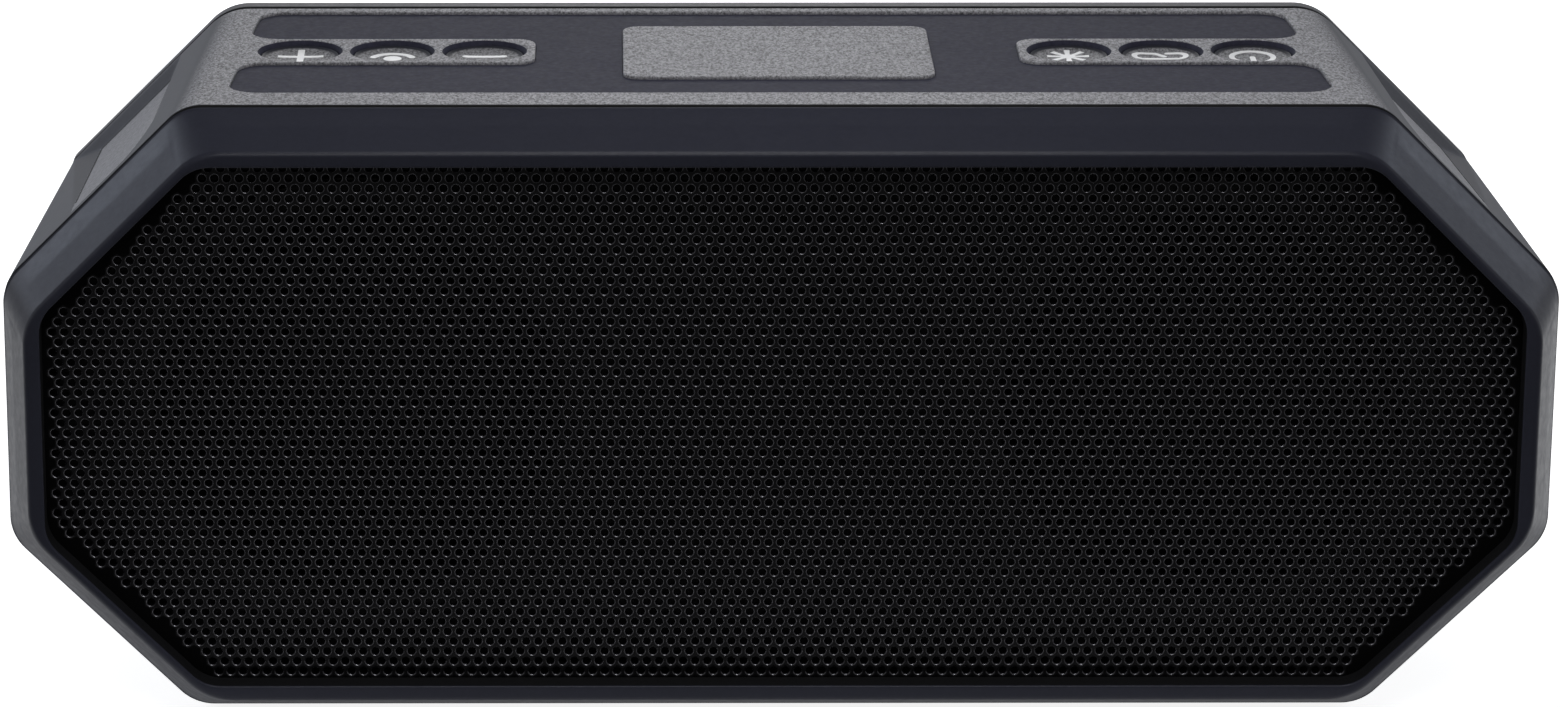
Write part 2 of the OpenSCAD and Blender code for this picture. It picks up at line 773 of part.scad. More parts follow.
module left_driver_basket() { color("gray") driver_at(-1) basket(); }
module left_driver_magnet() { color("darkgray") driver_at(-1) magnet(); }
module left_driver_cone() { color("black") driver_at(-1) cone(); }
module left_driver_dust_cap() { color("black") driver_at(-1) dust_cap(); }
module left_driver_surround() { color("black") driver_at(-1) surround(); }
module left_driver_spider() { color("goldenrod") driver_at(-1) spider(); }
module left_driver_voice_coil() { color("peru") driver_at(-1) voice_coil(); }
module right_driver_basket() { color("gray") driver_at(1) basket(); }
module right_driver_magnet() { color("darkgray") driver_at(1) magnet(); }
module right_driver_cone() { color("black") driver_at(1) cone(); }
module right_driver_dust_cap() { color("black") driver_at(1) dust_cap(); }
module right_driver_surround() { color("black") driver_at(1) surround(); }
module right_driver_spider() { color("goldenrod") driver_at(1) spider(); }
module right_driver_voice_coil() { color("peru") driver_at(1) voice_coil(); }

module driver_screws() {
  color("silver") for (side = [-1, 1]) driver_at(side) driver_screw_places() {
    translate([0, 0, -flange_y]) cylinder(r = small_head_r, h = small_head_t);
    translate([0, 0, -baffle_y1]) cylinder(r = small_screw_r, h = baffle_y1 - flange_y + small_head_t / 2);
  }
}

// Rear

module rear_bezel() {
  color("dimgray") placed() difference() {
    union() {
      loft([[rear_y0, rear_outline(0)], [rear_y0 + rear_band, rear_outline(0)],
        [body_d, rear_outline(rear_slope)]]);
      plate(rear_tongue_y, rear_y0 + run_out, rear_outline(mouth_wall + fit_gap / 2));
    }
    plate(panel_y1 - run_out, body_d + run_out, rear_outline(rear_slope + rear_land));
    plate(rear_tongue_y - run_out, panel_y1, rear_outline(rear_rebate));
  }
}

module rear_gasket() {
  color("black") placed() difference() {
    plate(rear_step, rear_tongue_y, rear_outline(mouth_wall + fit_gap));
    plate(rear_step - run_out, rear_tongue_y + run_out,
      cavity_outline(side_taper, corner_cut - cut_taper));
    corners() bar(0, 0, peg_r + fit_gap, rear_step - run_out, rear_tongue_y + run_out);
  }
}

module slot_outline(w, h) {
  polygon(round_rect(-w / 2, w / 2, -h / 2, h / 2, h / 2));
}

module at_port() {
  translate([port_x, 0, port_z]) children();
}

// Outline of the port cover with the tab at its top
module cover_outline(gap, r) {
  polygon(round_rect(-cover_w / 2 - gap, cover_w / 2 + gap, -cover_h / 2 - gap, cover_h / 2 + gap, r));
  translate([-tab_w / 2 - gap, 0]) square([tab_w + 2 * gap, cover_h / 2 + tab_h + gap]);
}

module rear_panel() {
  color("dimgray") placed() difference() {
    union() {
      plate(panel_y0, panel_y1, rear_outline(rear_rebate + fit_gap));
      corners() bar(0, 0, peg_r, rear_step, panel_y0 + eps);
      board_posts_at() bar(0, 0, board_post_r, socket_y0, panel_y0 + eps);
      at_port() upright(panel_y0 - pocket_d, panel_y0 + eps)
        slot_outline(pocket_w + 2 * pocket_t, pocket_h + 2 * pocket_t);
    }
    bar(0, 0, radiator_r, panel_y0 - run_out, panel_y1 + run_out);
    at_port() upright(panel_y1 - cover_seat, panel_y1 + run_out) cover_outline(cover_gap, cover_seat_r);
    at_port() upright(panel_y0 - pocket_d - run_out, panel_y1) slot_outline(pocket_w, pocket_h);
    corners() bar(0, 0, screw_r + screw_clear, rear_step - run_out, panel_y1 + run_out);
    board_posts_at() bar(0, 0, small_screw_r + pilot_gap, socket_y0 - run_out, socket_y0 + board_pilot_d);
  }
}

module rear_screws() {
  color("silver") placed() corners() {
    bar(0, 0, screw_head_r, panel_y1, panel_y1 + screw_head_t);
    bar(0, 0, screw_r, rear_step - pilot_d + screw_tip, panel_y1 + screw_head_t / 2);
  }
}

// The cover's lower edge is the round knuckle that it swings on
module port_cover() {
  cover_y = panel_y1 - cover_t;
  color("black") placed() at_port() {
    difference() {
      upright(cover_y, panel_y1) cover_outline(0, cover_r);
      translate([-cover_w, cover_y - run_out, -cover_h / 2 - run_out])
        cube([2 * cover_w, cover_t + 2 * run_out, cover_t / 2 + run_out]);
    }
    translate([cover_r - cover_w / 2, cover_y + cover_t / 2, (cover_t - cover_h) / 2]) rotate([0, 90, 0])
      cylinder(d = cover_t, h = cover_w - 2 * cover_r);
    upright(cover_y - cover_plug_t, cover_y + eps)
      slot_outline(pocket_w - 2 * cover_plug_gap, pocket_h - 2 * cover_plug_gap);
  }
}

module radiator_axis() {
  placed() rotate([-90, 0, 0]) children();
}

module radiator_plate() {
  color("gray") radiator_axis() translate([0, 0, panel_y1 - plate_t]) cylinder(r = plate_r, h = plate_t);
}

// Half roll between the plate and the rear wall
module radiator_surround() {
  lip = 2.4;
  color("black") radiator_axis() translate([0, 0, panel_y1])
    half_roll(plate_r - 2 * fit_gap, radiator_r + 2 * fit_gap, lip);
}

// Boards

module main_board() {
  color("darkgreen") placed() difference() {
    translate([board_x0, board_y0, -board_z]) cube([board_x1 - board_x0, board_t, 2 * board_z]);
    board_posts_at() bar(0, 0, small_screw_r + screw_clear, board_y0 - run_out, socket_y0 + run_out);
  }
}

module board_screws() {
  color("silver") placed() board_posts_at()
    screw(small_screw_r, small_head_r, small_head_t, board_y0, board_t + board_pilot_d - screw_tip);
}

module usb_socket() {
  shell_t = 0.4;
  tongue_w = 6.6;
  tongue_h = 0.7;
  tongue_drop = 1;
  back_t = 1;
  color("silver") placed() at_port() {
    difference() {
      upright(socket_y0, socket_y1) slot_outline(socket_w, socket_h);
      upright(socket_y0 + back_t, socket_y1 + run_out)
        slot_outline(socket_w - 2 * shell_t, socket_h - 2 * shell_t);
    }
    translate([-tongue_w / 2, socket_y0 + back_t - eps, -tongue_h / 2])
      cube([tongue_w, socket_d - back_t - tongue_drop, tongue_h]);
  }
}

module radio_module() {
  can_w = 14;
  can_h = 11;
  can_t = 2.2;
  can_x = 8;
  color("silver") placed() translate([board_x0 + can_x, board_y0 - can_t, 0]) cube([can_w, can_t, can_h]);
}

module key_board() {
  color("darkgreen") placed() difference() {
    translate([-key_board_x, button_y - key_board_d / 2, key_board_z - board_t])
      cube([2 * key_board_x, key_board_d, board_t]);
    key_posts_at() translate([0, 0, key_board_z - board_t - run_out])
      cylinder(r = small_screw_r + screw_clear, h = board_t + 2 * run_out);
  }
}

module key_switches() {
  body_t = switch_h - plunger_h;
  color("black") placed() buttons_at() translate([0, 0, key_board_z]) {
    translate([-switch_w / 2, -switch_w / 2, 0]) cube([switch_w, switch_w, body_t]);
    cylinder(r = plunger_r, h = switch_h);
  }
}

module key_board_screws() {
  color("silver") placed() key_posts_at() translate([0, 0, key_board_z - board_t]) {
    translate([0, 0, -small_head_t]) cylinder(r = small_head_r, h = small_head_t);
    translate([0, 0, -small_head_t / 2])
      cylinder(r = small_screw_r, h = small_head_t / 2 + board_t + key_pilot_d - screw_tip);
  }
}

// Dished key with a flange that stops it under the top wall
module button(side, i) {
  shank_r = button_bore / 2 - button_gap;
  dish_r = (shank_r * shank_r + dish_depth * dish_depth) / (2 * dish_depth);
  color("dimgray") placed() translate([side * (button_x + i * button_pitch), button_y, 0]) difference() {
    union() {
      translate([0, 0, button_flange_z]) cylinder(r = shank_r, h = button_top - button_flange_z);
      translate([0, 0, button_flange_z]) cylinder(d = button_flange, h = button_flange_t);
      translate([0, 0, button_flange_z - stem_l]) cylinder(r = stem_r, h = stem_l + eps);
    }
    translate([0, 0, button_top - dish_depth + dish_r]) sphere(r = dish_r);
  }
}

module volume_up_button() { button(-1, 2); }
module play_button() { button(-1, 1); }
module volume_down_button() { button(-1, 0); }
module light_button() { button(1, 0); }
module pairing_button() { button(1, 1); }
module power_button() { button(1, 2); }

// Battery

module battery_cells() {
  color("steelblue") placed() for (y = [cell_y0, cell_y1])
    translate([-cell_l / 2, y, tray_z + tray_t + cell_r]) rotate([0, 90, 0]) cylinder(r = cell_r, h = cell_l);
}

module battery_tray() {
  end_x = cell_l / 2 + fit_gap;
  y0 = cell_y0 - cell_r;
  y1 = rear_step - fit_gap;
  color("dimgray") placed() difference() {
    union() {
      translate([-end_x - tray_t - tray_lug, y0, tray_z])
        cube([2 * (end_x + tray_t + tray_lug), y1 - y0, tray_t]);
      for (side = [-1, 1]) translate([side * (end_x + tray_t / 2) - tray_t / 2, y0, tray_z])
        cube([tray_t, y1 - y0, tray_wall_h]);
    }
    tray_screws_at() translate([0, 0, tray_z - run_out])
      cylinder(r = small_screw_r + screw_clear, h = tray_t + 2 * run_out);
  }
}

module tray_screws() {
  thread_l = tray_t + tray_pilot_d - screw_tip;
  color("silver") placed() tray_screws_at() translate([0, 0, tray_z + tray_t]) {
    cylinder(r = small_head_r, h = small_head_t);
    translate([0, 0, -thread_l]) cylinder(r = small_screw_r, h = thread_l + small_head_t / 2);
  }
}

sleeve_shell();
top_inlay();
front_bezel();
front_grille();
front_baffle();
front_gasket();
rear_bezel();
rear_panel();
rear_gasket();
port_cover();
usb_socket();
main_board();
radio_module();
board_screws();
key_board();
key_switches();
key_board_screws();
volume_up_button();
play_button();
volume_down_button();
light_button();
pairing_button();
power_button();
left_driver_basket();
left_driver_magnet();
left_driver_cone();
left_driver_dust_cap();
left_driver_surround();
left_driver_spider();
left_driver_voice_coil();
right_driver_basket();
right_driver_magnet();
right_driver_cone();
right_driver_dust_cap();
right_driver_surround();
right_driver_spider();
right_driver_voice_coil();
driver_screws();
baffle_screws();
rear_screws();
radiator_plate();
radiator_surround();
battery_tray();
battery_cells();
tray_screws();
rubber_feet();
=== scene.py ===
import functools
import json
import math

import bmesh
import bpy
import numpy as np
from mathutils import Matrix, Vector, geometry

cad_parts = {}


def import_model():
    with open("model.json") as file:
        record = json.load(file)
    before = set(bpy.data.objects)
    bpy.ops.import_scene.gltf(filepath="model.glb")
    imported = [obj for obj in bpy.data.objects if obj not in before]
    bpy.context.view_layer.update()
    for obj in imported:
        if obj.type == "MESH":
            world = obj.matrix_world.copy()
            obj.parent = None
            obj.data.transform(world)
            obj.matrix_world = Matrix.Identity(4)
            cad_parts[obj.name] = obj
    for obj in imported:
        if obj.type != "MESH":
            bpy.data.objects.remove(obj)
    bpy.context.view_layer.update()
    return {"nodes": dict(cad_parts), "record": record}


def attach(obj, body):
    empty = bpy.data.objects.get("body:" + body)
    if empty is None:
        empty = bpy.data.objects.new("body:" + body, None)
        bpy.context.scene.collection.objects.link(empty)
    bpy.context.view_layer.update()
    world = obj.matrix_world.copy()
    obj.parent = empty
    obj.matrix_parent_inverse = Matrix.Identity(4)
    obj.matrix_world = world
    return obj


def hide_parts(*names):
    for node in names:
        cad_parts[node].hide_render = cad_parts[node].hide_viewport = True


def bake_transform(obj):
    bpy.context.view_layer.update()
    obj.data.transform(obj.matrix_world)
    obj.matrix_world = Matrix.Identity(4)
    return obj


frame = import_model()

# Sizes are in millimetres: x from the middle, y back from the front land, z up from the middle of the body
MM = 0.001
ROOT2 = math.sqrt(2)
BODY_D = 65.5
MID_Z = 39.3
TOP_Z = 38.5

# Octagon outlines: half width, half height, corner cut, corner radius, radius of the two top corners
FRONT = (95.0, 38.5, 22.3, 6.0, 6.0)
REAR = (90.9, 38.5, 20.7, 2.5, 7.0)
RIDGE = (91.8, 34.9, 21.4, 7.5, 7.5)
OPENING = (89.9, 33.1, 19.0, 5.0, 5.0)
TOP_CORNERS = (1, 2)

# Places along the depth, then the insets of rebate and tongue and the thickness of the grille
BEZEL_D = 8.5
SLEEVE_Y0 = 9.0
SLEEVE_Y1 = 57.4
REAR_Y0 = 57.9
REAR_TONGUE_Y = 54.9
WALL_Y = 62.3
LIP_D = 3.15
TONGUE_Y = 11.7
REBATE_IN = 3.6
TONGUE_IN = 2.75
SHEET_T = 0.8

# Top layout
BUTTON_Y = 35.55
BUTTON_X = [36.6, 48.15, 59.7]
INLAY_Y0 = 15.15
INLAY_Y1 = 55.35
STRIP_REAR_X = 66.2
STRIP_FRONT_X = 67.5
STRIP_R = 3.7
STRIP_SLANT = 0.45
ISLAND_X = 30.2
ISLAND_HALF = 5.9
ISLAND_R = 2.5
BADGE_X = 19.3
BADGE_Y0 = 22.55
BADGE_Y1 = 47.95
BADGE_R = 2.2
INLAY_DROP = 0.36
INLAY_T = 0.6


# Outlines and meshes

def at(x, y, z):
    """A place in the frame, in metres."""
    return (x * MM, (y - BODY_D / 2) * MM, (z + MID_Z) * MM)


def mix(a, b, share):
    """The values between a and b at a share of the way."""
    return tuple(p + (q - p) * share for p, q in zip(a, b))


def shrink(outline, inset):
    """An octagon outline drawn in by the inset."""
    hw, hh, cut, r, top_r = outline
    return (hw - inset, hh - inset, cut - inset * (2 - ROOT2), max(r - inset, 0.8), max(top_r - inset, 0.8))


def even(n):
    """Shares that split a side into n equal steps."""
    return [k / n for k in range(1, n)]


def tight(length, fine, reach, coarse):
    """Shares along a side that lie closer together near both ends."""
    near = [k * fine / length for k in range(1, round(reach / fine) + 1)]
    n = max(1, round((length - 2 * reach) / coarse))
    middle = [near[-1] + (1 - 2 * near[-1]) * k / n for k in range(1, n)]
    return near + middle + [1 - t for t in reversed(near)]


def columns(arc_steps, side_shares):
    """Places round an octagon: shares of the eight corner arcs and of the sides between them."""
    places = []
    for i in range(8):
        places += [("arc", i, k / arc_steps) for k in range(arc_steps + 1)]
        side = (i + 1) % 8
        places += [("side", side, t) for t in side_shares[side]]
    return places


def ring(outline, places):
    """Points and outward normals of an octagon in x and z."""
    hw, hh, cut, r, top_r = outline
    tips = [(hw, hh - cut), (hw - cut, hh), (cut - hw, hh), (-hw, hh - cut),
            (-hw, cut - hh), (cut - hw, -hh), (hw - cut, -hh), (hw, cut - hh)]
    radii = [top_r if i in TOP_CORNERS else r for i in range(8)]
    centres = []
    for i, tip in enumerate(tips):
        a = math.radians(45 * i + 22.5)
        inward = -np.array((math.cos(a), math.sin(a))) / math.cos(math.pi / 8)
        centres.append(np.array(tip) + radii[i] * inward)
    points = []
    normals = []
    for kind, i, t in places:
        a = math.radians(45 * (i + t if kind == "arc" else i))
        normal = np.array((math.cos(a), math.sin(a)))
        point = centres[i] + radii[i] * normal
        if kind == "side":
            point = (centres[i - 1] + radii[i - 1] * normal) * (1 - t) + point * t
        points.append(point)
        normals.append(normal)
    return np.array(points), np.array(normals)


def circle(cx, cy, r, steps=64):
    """Spots round a full circle."""
    return [(cx + r * math.cos(a), cy + r * math.sin(a))
            for a in (2 * math.pi * k / steps for k in range(steps))]


def arc(cx, cy, r, start, end, steps=10):
    """Spots along an arc between two angles in degrees."""
    return [(cx + r * math.cos(a), cy + r * math.sin(a))
            for a in (math.radians(start + (end - start) * k / steps) for k in range(steps + 1))]


def rounded(cx, cy, half_w, half_h, r):
    """A rectangle with rounded corners."""
    spots = []
    for sx, sy, start in ((1, -1, 270), (1, 1, 0), (-1, 1, 90), (-1, -1, 180)):
        spots += arc(cx + sx * (half_w - r), cy + sy * (half_h - r), r, start, start + 90)
    return spots


def inside(spots, loops):
    """Which spots lie inside an odd number of the loops."""
    hit = np.zeros(len(spots), bool)
    for loop in loops:
        for (ax, ay), (bx, by) in zip(loop, loop[1:] + loop[:1]):
            if ay != by:
                across = (ay > spots[:, 1]) != (by > spots[:, 1])
                hit ^= across & (spots[:, 0] < (bx - ax) * (spots[:, 1] - ay) / (by - ay) + ax)
    return hit


def upright(u, v, h):
    """A flat spot at a height."""
    return (u, v, h)


def facing_back(u, v, h):
    """A spot in x and z at a depth."""
    return (u, h, v)


def new_object(name, data):
    """An object in the scene."""
    made = bpy.data.objects.new(name, data)
    bpy.context.scene.collection.objects.link(made)
    return made


class Skin:
    """Collects the points and faces of one piece."""

    def __init__(self):
        self.points = []
        self.faces = []
        self.paint = {}

    def add(self, points):
        start = len(self.points)
        self.points += [at(*p) for p in points]
        return list(range(start, len(self.points)))

    def face(self, corners, paint=0):
        """One face; paint picks one of the piece's further materials."""
        if paint:
            self.paint[len(self.faces)] = paint
        self.faces.append(tuple(corners))

    def band(self, a, b, skip=(), paint=0):
        """Faces between two closed rows of equal length, apart from the skipped columns."""
        n = len(a)
        for k in range(n):
            if k not in skip:
                m = (k + 1) % n
                self.face((a[k], a[m], b[m], b[k]), paint)

    def stack(self, wall, lift=upright):
        """Bands between flat loops with their heights; lift turns a flat spot and a height into a place."""
        rows = [self.add([lift(u, v, h) for u, v in loop]) for loop, h in wall]
        for a, b in zip(rows, rows[1:]):
            self.band(a, b)
        return rows

    def fill(self, loops, height, lift=upright, paint=0):
        """Triangles between flat loops at one height."""
        flat = []
        edges = []
        for loop in loops:
            start = len(flat)
            flat += [Vector(p) for p in loop]
            edges += [(start + k, start + (k + 1) % len(loop)) for k in range(len(loop))]
        spots, _, triangles = geometry.delaunay_2d_cdt(flat, edges, [], 1, 1e-6)[:3]
        spots = np.array([tuple(s) for s in spots])
        triangles = np.array([tuple(t) for t in triangles])
        keep = inside(spots[triangles].mean(axis=1), loops)
        index = np.array(self.add([lift(u, v, height) for u, v in spots]))
        for triangle in index[triangles[keep]].tolist():
            self.face(triangle, paint)

    def lathe(self, cx, cy, profile, steps=64, lift=upright):
        """Turns a profile of (radius, height) about an axis, closed at both ends on the axis."""
        rows = self.stack([(circle(cx, cy, r, steps), h) for r, h in profile[1:-1]], lift)
        for row, (_, h) in ((rows[0], profile[0]), (rows[-1], profile[-1])):
            tip = self.add([lift(cx, cy, h)])[0]
            self.faces += [(row[k], row[(k + 1) % steps], tip) for k in range(steps)]

    def build(self, name, body, slot, stands_for=(), sharp=32, material=None, others=()):
        """Makes the piece: a closed smooth mesh on its body, in place of the named nodes."""
        mesh = bpy.data.meshes.new(name)
        mesh.from_pydata(self.points, [], self.faces)
        for k, number in self.paint.items():
            mesh.polygons[k].material_index = number
        work = bmesh.new()
        work.from_mesh(mesh)
        bmesh.ops.remove_doubles(work, verts=work.verts, dist=2e-7)
        bmesh.ops.recalc_face_normals(work, faces=work.faces)
        limit = math.radians(sharp)
        for face in work.faces:
            face.smooth = True
        for edge in work.edges:
            edge.smooth = len(edge.link_faces) == 2 and edge.calc_face_angle() < limit
        work.to_mesh(mesh)
        work.free()
        for each in (material or MATERIALS[slot], *others):
            mesh.materials.append(each)
        piece = new_object(name, mesh)
        weighted = piece.modifiers.new("even_shading", "WEIGHTED_NORMAL")
        weighted.keep_sharp = True
        if body:
            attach(piece, body)
        if stands_for:
            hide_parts(*stands_for)
        return piece


# Materials

class Shader:
    """A principled material with helpers for its texture nodes."""

    def __init__(self, name):
        self.material = bpy.data.materials.new(name)
        self.material.use_nodes = True
        self.tree = self.material.node_tree
        self.surface = self.tree.nodes["Principled BSDF"]
        self.place = self.tree.nodes.new("ShaderNodeTexCoord").outputs["Object"]

    def node(self, kind, **inputs):
        made = self.tree.nodes.new(kind)
        for socket, value in inputs.items():
            self.feed(made, socket.replace("_", " "), value)
        return made

    def feed(self, node, socket, value):
        if isinstance(value, bpy.types.NodeSocket):
            self.tree.links.new(value, node.inputs[socket])
        else:
            node.inputs[socket].default_value = value

    def set(self, **inputs):
        for socket, value in inputs.items():
            self.feed(self.surface, socket.replace("_", " "), value)

    def noise(self, scale, detail=3.0, rough=0.6):
        made = self.node("ShaderNodeTexNoise", Vector=self.place, Scale=scale, Detail=detail, Roughness=rough)
        return made.outputs["Fac"]

    def ramp(self, value, stops):
        made = self.node("ShaderNodeValToRGB", Fac=value)
        elements = made.color_ramp.elements
        while len(elements) < len(stops):
            elements.new(1.0)
        for element, (spot, colour) in zip(elements, stops):
            element.position = spot
            element.color = (*colour, 1.0)
        return made.outputs["Color"]

    def ranged(self, value, from_low, from_high, low, high):
        """A node that maps one span of a value to another."""
        return self.node("ShaderNodeMapRange", Value=value, From_Min=from_low, From_Max=from_high,
                         To_Min=low, To_Max=high)

    def times(self, a, b):
        made = self.node("ShaderNodeMixRGB", Fac=1.0, Color1=a, Color2=b)
        made.blend_type = "MULTIPLY"
        return made.outputs["Color"]

    def bump(self, height, strength, depth):
        made = self.node("ShaderNodeBump", Height=height, Strength=strength, Distance=depth)
        self.set(Normal=made.outputs["Normal"])


def scaled(colour, factor):
    return tuple(c * factor for c in colour)


def zoned(name, plain, grained_sheen, low, high):
    """One plastic, plain and smooth on one side of a band of heights, grained and painted lighter on the
    other side as painted sheen.
    """
    s = Shader(name)
    height = s.node("ShaderNodeSeparateXYZ", Vector=s.place).outputs["Z"]
    # Painted sheen: between the two heights the plain colour turns into the lighter grained colour
    sheen_zone = s.ranged(height, low, high, 0.0, 1.0)
    sheen_zone.interpolation_type = "SMOOTHSTEP"
    sheen_zone = sheen_zone.outputs["Result"]
    long_grain = s.node("ShaderNodeMapping", Vector=s.place, Scale=(1.0, 0.55, 1.0)).outputs["Vector"]
    fine = s.node("ShaderNodeTexNoise", Vector=long_grain, Scale=3400.0, Detail=5.0, Roughness=0.7)
    fine = fine.outputs["Fac"]
    speck = s.ramp(fine, [(0.36, scaled(grained_sheen, 0.3)), (0.64, scaled(grained_sheen, 1.7))])
    tone = s.ramp(s.noise(900.0), [(0.3, scaled(plain, 0.92)), (0.7, scaled(plain, 1.08))])
    colour = s.node("ShaderNodeMixRGB", Fac=sheen_zone, Color1=tone, Color2=speck).outputs["Color"]
    drift = s.ramp(s.noise(45.0, 2.0, 0.5), [(0.3, (0.93, 0.93, 0.93)), (0.7, (1.0, 1.0, 1.0))])
    s.set(Base_Color=s.times(colour, drift), Specular_IOR_Level=0.16)
    s.set(Roughness=s.ranged(sheen_zone, 0.0, 1.0, 0.55, 0.6).outputs["Result"])
    grain = s.node("ShaderNodeMath", Value=fine)
    grain.operation = "MULTIPLY"
    s.tree.links.new(sheen_zone, grain.inputs[1])
    s.bump(grain.outputs["Value"], 0.6, 0.00012)
    return s.material


def moulded(name, colour, grain, vary, rough, bump, metallic=0.0, specular=0.5):
    """Moulded or coated surface: fine grain in colour, gloss and relief, with slow drift of tone."""
    s = Shader(name)
    fine = s.noise(grain)
    speck = s.ramp(fine, [(0.32, scaled(colour, 1 - vary)), (0.68, scaled(colour, 1 + vary))])
    drift = s.ramp(s.noise(60.0, 2.0, 0.5), [(0.3, (0.94, 0.94, 0.94)), (0.7, (1.0, 1.0, 1.0))])
    s.set(Base_Color=s.times(speck, drift), Metallic=metallic, Specular_IOR_Level=specular)
    gloss = s.ranged(s.noise(grain * 0.6), 0.3, 0.7, rough - 0.05, rough + 0.05)
    s.set(Roughness=gloss.outputs["Result"])
    s.bump(fine, bump, 0.0001)
    return s.material


# Moulded: colour, scale of the grain, its spread in tone, roughness and strength of the relief
# Zoned: plain colour, grained colour painted lighter as painted sheen, and the two heights in metres between
# which one turns into the other
MATERIALS = {
    # The sleeve's top is grained and painted lighter than its sides: painted sheen for the grazing light on
    # the grain
    "sleeve": zoned("sleeve_plastic", (0.05, 0.049, 0.058), (0.24, 0.238, 0.254), 0.0764, 0.07778),
    "inlay": moulded("inlay_plastic", (0.027, 0.0272, 0.045), 1500.0, 0.2, 0.75, 0.16, specular=0.14),
    "bezel": moulded("bezel_plastic", (0.024, 0.0255, 0.04), 1500.0, 0.08, 0.4, 0.08, specular=0.25),
    "rear_shell": moulded("rear_shell_plastic", (0.12, 0.12, 0.128), 2600.0, 0.14, 0.6, 0.4, specular=0.16),
    "rear_wall": moulded("rear_wall_plastic", (0.034, 0.035, 0.043), 1300.0, 0.24, 0.55, 0.6, specular=0.3),
    "grille_steel": moulded("grille_coat", (0.0042, 0.004, 0.0052), 2400.0, 0.2, 0.4, 0.1, specular=0.2),
    # The keys' low dished middle is painted light as painted sheen, and their raised outer rim is painted
    # dark as painted shade
    "keys": zoned("key_rubber", (0.022, 0.023, 0.031), (0.21, 0.21, 0.22), 0.07705, 0.0769),
    "inner_plastic": moulded("inner_plastic", (0.02, 0.02, 0.022), 1800.0, 0.1, 0.55, 0.2),
    "seal_rubber": moulded("seal_rubber", (0.006, 0.006, 0.007), 1500.0, 0.12, 0.7, 0.2, specular=0.2),
    "basket_steel": moulded("basket_coat", (0.03, 0.03, 0.03), 2000.0, 0.12, 0.4, 0.1),
    "magnet": moulded("magnet_ferrite", (0.1, 0.1, 0.11), 1600.0, 0.15, 0.5, 0.2, metallic=0.6),
    "cone_paper": moulded("cone_paper", (0.015, 0.015, 0.016), 900.0, 0.2, 0.7, 0.3),
    "spider_cloth": moulded("spider_cloth", (0.55, 0.42, 0.18), 1400.0, 0.15, 0.85, 0.4),
    "coil_copper": moulded("coil_copper", (0.72, 0.38, 0.2), 1800.0, 0.08, 0.35, 0.1, metallic=1.0),
    "screw_steel": moulded("screw_steel", (0.02, 0.02, 0.021), 1800.0, 0.08, 0.4, 0.08),
    "plated_steel": moulded("plated_steel", (0.6, 0.6, 0.62), 1500.0, 0.05, 0.3, 0.05, metallic=1.0),
    "board": moulded("board_laminate", (0.01, 0.06, 0.03), 2000.0, 0.1, 0.45, 0.1),
    "switch_plastic": moulded("switch_plastic", (0.03, 0.03, 0.03), 2000.0, 0.1, 0.5, 0.1),
    "cell_wrap": moulded("cell_wrap", (0.02, 0.08, 0.2), 1200.0, 0.06, 0.35, 0.05),
    "radiator_weight": moulded("radiator_weight", (0.05, 0.05, 0.056), 2200.0, 0.14, 0.4, 0.25),
}
# Painted sheen: the light grained plastic painted on the scoops' floors, where the light falls more brightly
GRAINED_SHEEN = moulded("sheen_grained_plastic", (0.24, 0.237, 0.252), 1900.0, 0.3, 0.6, 0.4, specular=0.16)
GRILLE_RIM = moulded("grille_rim", (0.145, 0.143, 0.157), 2400.0, 0.25, 0.27, 0.1, metallic=1.0)
# Painted shade: near-black paint for the grille's plain edge, where the lip shades it
GRILLE_EDGE_SHADE = moulded("grille_edge_shade", (0.0016, 0.0016, 0.0018), 2400.0, 0.2, 0.7, 0.1, specular=0.06)
ICON_PAINT = moulded("icon_paint", (0.92, 0.92, 0.93), 1800.0, 0.04, 0.5, 0.05)

for part in frame["record"]["subparts"]:
    cad_mesh = frame["nodes"][part["node"]].data
    cad_mesh.materials.clear()
    cad_mesh.materials.append(MATERIALS[part["material_slot"]])


# Sleeve

# Further materials of the sleeve
# Painted shade: black rubber on the sleeve's rounded ends darkens the parting gaps; the bezel's lip wall
# takes the same rubber
SHADE_AND_SEAL = 1
# Painted sheen: the light grained plastic on the scoops' floors
FLOOR_SHEEN = 2
WELL = 3

# Profiles: a rounded end as (depth, inset), the rims as (growth or radius, height)
EDGE = [(0.0, 0.42), (0.04, 0.22), (0.15, 0.07), (0.34, 0.0)]
RECESS_RIM = [(0.2, 0.0), (0.12, -0.03), (0.05, -0.1), (0.02, -0.2), (0.02, -INLAY_DROP - INLAY_T)]
WELL_RIM = [(5.55, 0.0), (5.42, -0.03), (5.32, -0.1), (5.24, -0.2), (5.14, -0.4), (5.04, -0.6), (5.0, -0.72)]
SLEEVE_WALL = 2.6
SLEEVE_RINGS = 160

# Scoop in each upper diagonal face: p runs up the diagonal from its middle, q back from the sleeve's front
SCOOP_DEPTH = 1.2
SCOOP_START = 2.4
SCOOP_CREASE = 45.2
SCOOP_REAR = 47.6
SCOOP_NOSE = 4.2
SCOOP_HIGH = 9.2
SCOOP_BEND = 12
SCOOP_UPPER_RUN = 3.0
SCOOP_LOWER_RUN = 3.82
SCOOP_LOWER_Q = 4.5
SCOOP_LOWER_WAY = (0.9880, 0.1544)
SCOOP_SOFT = 0.03
SCOOP_EDGE_SOFT = 0.02

